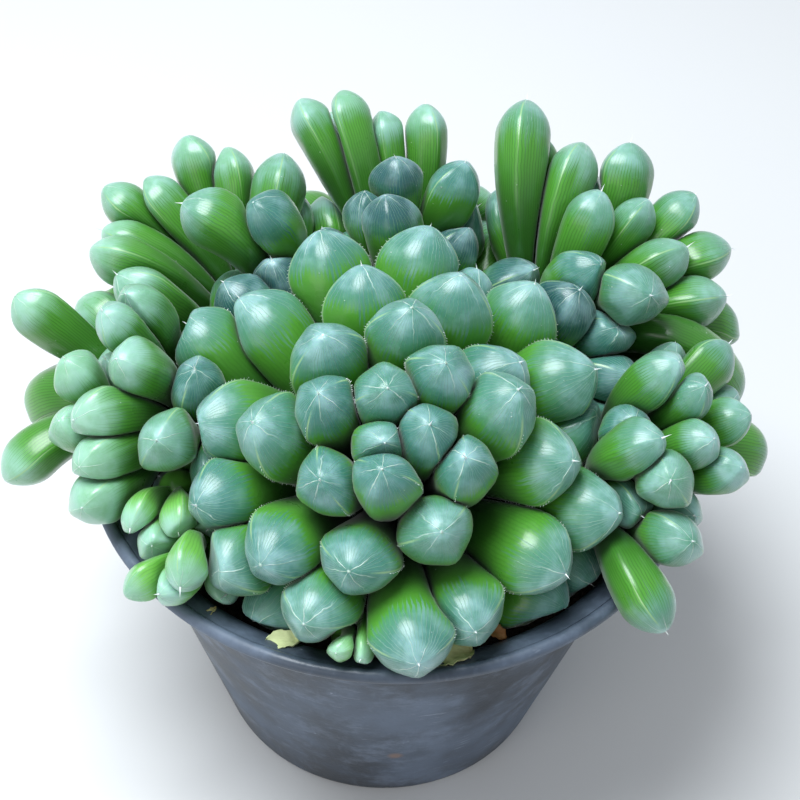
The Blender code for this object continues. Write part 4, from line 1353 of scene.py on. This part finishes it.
def straw_material():
    """Makes the papery skin of dried leaf remains."""
    graph = Graph("dry_leaf")
    fibre = graph.noise(graph.stretch(graph.place(), (1.0, 3.0, 1.0)), 500.0, 4.0)
    rust, fresh, _ = graph.attribute("grain_tone")
    colour = graph.layers(STRAW_DARK, (graph.step(fibre, 0.3, 0.75), STRAW),
                          (rust * 0.8, RUST), (fresh * 0.8, STRAW_PALE))
    graph.set(Base_Color=colour, Roughness=fibre * 0.3 + 0.55)
    graph.bump(fibre, STRAW_RELIEF)
    return graph.material


def plain_material(name, colour, roughness):
    """Makes a quiet material for the floor, faintly clouded."""
    graph = Graph(name)
    cloud = graph.noise(graph.place(), 3.0)
    shade = tuple(part * 0.97 for part in colour)
    graph.set(Base_Color=graph.mix(cloud, shade, colour), Roughness=roughness)
    return graph.material


def attach(made, material, slot, *nodes):
    """Gives a piece its material, and lets it stand for solids of the frame."""
    made.data.materials.clear()
    made.data.materials.append(material)
    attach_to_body(made, "root")
    if nodes:
        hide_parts(*nodes)
    return made


def fine_pot_profile():
    """Returns the outline of the pot's wall, floor and rolled lip, base first."""
    half = WALL / 2
    points = pot_profile()
    runs = unit(np.gradient(points, axis=0))
    side = np.stack([runs[:, 1], -runs[:, 0]], axis=1) * half
    outer = points + side
    inner = points - side
    foot = []
    for angle in np.radians(FOOT_ANGLES):
        foot.append((BASE_RADIUS + half - BASE_EDGE + BASE_EDGE * math.sin(angle),
                     BASE_EDGE - BASE_EDGE * math.cos(angle)))
    heading = unit(points[-1] - points[-2])
    out = np.array([heading[1], -heading[0]])
    bead = []
    for angle in np.radians(BEAD_ANGLES):
        size = half + LIP_BEAD
        bead.append(points[-1] + size * (out * math.cos(angle) + heading * math.sin(angle)))
    profile = [(0.0, 0.0)] + foot
    profile += [tuple(point) for point in outer[1:-1]]
    profile += [tuple(point) for point in bead]
    profile += [tuple(point) for point in inner[-2:0:-1]]
    profile += [(BASE_RADIUS - WALL, FLOOR_THICKNESS), (0.0, FLOOR_THICKNESS)]
    return profile


def make_fine_pot():
    """Makes the round pot with a thin rolled lip and its drain holes."""
    pot = lathe("pot_shell", fine_pot_profile(), POT_FINE_SIDES)
    holes = []
    for index, angle in enumerate(around(DRAIN_COUNT)):
        centre = (DRAIN_RING_RADIUS * math.cos(angle), DRAIN_RING_RADIUS * math.sin(angle))
        profile = [(0.0, -CUT_PAST), (DRAIN_RADIUS, -CUT_PAST),
                   (DRAIN_RADIUS, FLOOR_THICKNESS + CUT_PAST), (0.0, FLOOR_THICKNESS + CUT_PAST)]
        holes.append(lathe(f"drain_{index}", profile, 4 * DRAIN_SIDES, centre))
    combine(pot, holes, "DIFFERENCE")
    pot.data.shade_smooth()
    pot.data.set_sharp_from_angle(angle=POT_CREASE)
    return pot


def rough_height(x, y):
    """Returns how far the soil's crumbs stand above or below its even top."""
    return sum(size * noise.noise((x * scale, y * scale, layer))
               for scale, layer, size in CRUMBS)


def make_fine_soil():
    """Makes the soil with a crumbly top."""
    slope = (NECK_RADIUS - BASE_RADIUS) / (POT_HEIGHT - FLARE_HEIGHT)
    inset = WALL / 2 + CLEARANCE
    brim = BASE_RADIUS + slope * SOIL_TOP - inset
    foot = BASE_RADIUS - WALL - CLEARANCE
    profile = [(0.0, FLOOR_THICKNESS + CLEARANCE), (foot, FLOOR_THICKNESS + CLEARANCE),
               (brim - SOIL_TUCK, SOIL_TOP - SOIL_SHOULDER)]
    for step in range(SOIL_FINE_RINGS - 1, -1, -1):
        profile.append((brim * SOIL_BRIM_SHARE * step / (SOIL_FINE_RINGS - 1), SOIL_TOP))
    made = lathe("soil_bed", profile, SOIL_FINE_SIDES)
    for vertex in made.data.vertices:
        x, y, z = (value / MM for value in vertex.co)
        if z > SOIL_TOP - SOIL_TUCK:
            vertex.co.z = float(soil_height(x, y) + rough_height(x, y)) * MM
    made.data.attributes.new("grain_tone", "FLOAT_VECTOR", "POINT")
    made.data.shade_smooth()
    return made


def make_grains(random):
    """Makes the loose grains on the soil: mostly dark crumbs, and a few pale stones."""
    seed = bmesh.new()
    bmesh.ops.create_icosphere(seed, subdivisions=1, radius=1.0)
    ball = np.array([tuple(vertex.co) for vertex in seed.verts])
    sides = [tuple(vertex.index for vertex in face.verts) for face in seed.faces]
    seed.free()
    gather = Gather("grain_tone")
    for _ in range(GRAIN_COUNT):
        out = GRAIN_REACH * math.sqrt(random.uniform(0.0, 1.0))
        turn = random.uniform(0.0, 2 * math.pi)
        x, y = out * math.cos(turn), out * math.sin(turn)
        size = random.uniform(*GRAIN_SIZE) * random.uniform(*GRAIN_SHRINK)
        shape = ball * (size * random.uniform(*GRAIN_STRETCH, 3))
        shape = shape * random.uniform(*GRAIN_BUMPS, (len(ball), 1))
        lift = soil_height(x, y) + rough_height(x, y) + GRAIN_LIFT * size
        pale = float(random.uniform() < GRAIN_PALE_CHANCE)
        gather.add(shape + (x, y, lift), sides, (random.uniform(0.0, 1.0), pale, 0.0))
    return gather.build("soil_grains")


def on_plane(pixel, height):
    """Returns where the line of sight through a pixel meets a level plane."""
    eye = view_axes()[0]
    direction = sight_line(pixel)
    return eye + direction * (height - eye[2]) / direction[2]


def dry_rings(middle, length, half, turn, random):
    """Returns the rings of one dry, curled, sagging leaf remain."""
    heading = np.array([math.cos(math.radians(turn)), math.sin(math.radians(turn)), 0.0])
    beside = np.array([-heading[1], heading[0], 0.0])
    turns = around(DRY_SIDES)
    curl = DRY_CURL * half * np.cos(turns) ** 2
    rings = []
    for place in np.linspace(-1.0, 1.0, DRY_RINGS):
        size = half * math.sqrt(max(1.0 - place ** 2, DRY_END)) * random.uniform(*DRY_BUMPS)
        centre = middle + heading * place * length / 2 - (0.0, 0.0, DRY_SAG * length * place ** 2)
        ring = centre + beside * size * np.cos(turns)[:, None]
        ring[:, 2] += DRY_FLATNESS * size * np.sin(turns) + curl
        rings.append(ring + random.normal(0.0, DRY_ROUGHNESS, ring.shape))
    rings.append(rings[-1].mean(axis=0)[None])
    return rings


def make_remains(random):
    """Makes the dry, curled remains of dead leaves that lie between the front leaves and lip."""
    gather = Gather("grain_tone")
    for pixel, height, length, half, turn, rusty, pale in DRY_REMAINS:
        rings = dry_rings(on_plane(pixel, height), length, half, turn, random)
        gather.add(np.concatenate(rings), ring_faces(rings), (rusty, pale, 0.0))
    made = gather.build("dry_remains")
    made.data.shade_smooth()
    return made


def make_camera():
    """Makes the camera at the picture's own viewing angle."""
    eye, forward, right, up = view_axes()
    lens = bpy.data.cameras.new("camera")
    lens.sensor_fit = "HORIZONTAL"
    lens.angle = 2 * math.atan(VIEW_CENTRE / VIEW_FOCAL)
    lens.clip_start = 0.01
    made = add_object("camera", lens)
    rows = [(right[row], up[row], -forward[row], eye[row] * MM) for row in range(3)]
    made.matrix_world = Matrix(rows + [(0.0, 0.0, 0.0, 1.0)])
    bpy.context.scene.camera = made


def area_light(name, place, size, power, colour):
    """Makes a large soft lamp that points at the clump."""
    lamp = bpy.data.lights.new(name, "AREA")
    lamp.shape = "DISK"
    lamp.size = size
    lamp.energy = power
    lamp.color = colour
    made = add_object(name, lamp)
    made.location = place
    made.rotation_mode = "QUATERNION"
    made.rotation_quaternion = vector_to_rotation(LAMP_AIM - np.array(place))


def vector_to_rotation(aim):
    """Returns the rotation that turns a lamp towards a direction."""
    back = -unit(aim)
    side = unit(np.cross([0.0, 1.0, 0.0], back))
    top = np.cross(back, side)
    return Matrix(np.stack([side, top, back], axis=1).tolist()).to_quaternion()


def make_studio():
    """Makes the pale floor, the soft daylight and the lamps."""
    corners = [(-1, -1, 0), (1, -1, 0), (1, 1, 0), (-1, 1, 0)]
    floor = make_object("floor", np.array(corners) * FLOOR_REACH, [(0, 1, 2, 3)])
    floor.data.materials.append(plain_material("pale_floor", FLOOR_TONE, FLOOR_ROUGHNESS))
    world = bpy.data.worlds.new("daylight")
    world.use_nodes = True
    sky = world.node_tree.nodes["Background"]
    sky.inputs["Color"].default_value = SKY_COLOUR
    sky.inputs["Strength"].default_value = SKY_STRENGTH
    bpy.context.scene.world = world
    for name, lamp in LAMPS.items():
        area_light(name, *lamp)
    bpy.context.scene.view_settings.view_transform = "Standard"


def main():
    """Makes every visible piece, the studio and the camera."""
    random = np.random.default_rng(SEED + 1)
    leaves = plan_leaves()
    skins = {False: leaf_material("leaf_skin", False), True: leaf_material("young_skin", True)}
    for name, spec in ROSETTES.items():
        young = name.startswith("pup")
        made = make_fine_rosette(name, spec, leaves, random)
        attach(made, skins[young], "young_leaf" if young else "leaf", name)
    attach(make_fine_pot(), pot_material(), "pot", "pot")
    ground = soil_material()
    attach(make_fine_soil(), ground, "soil", "soil")
    attach(make_grains(random), ground, "soil")
    attach(make_remains(random), straw_material(), "soil")
    make_studio()
    make_camera()


main()
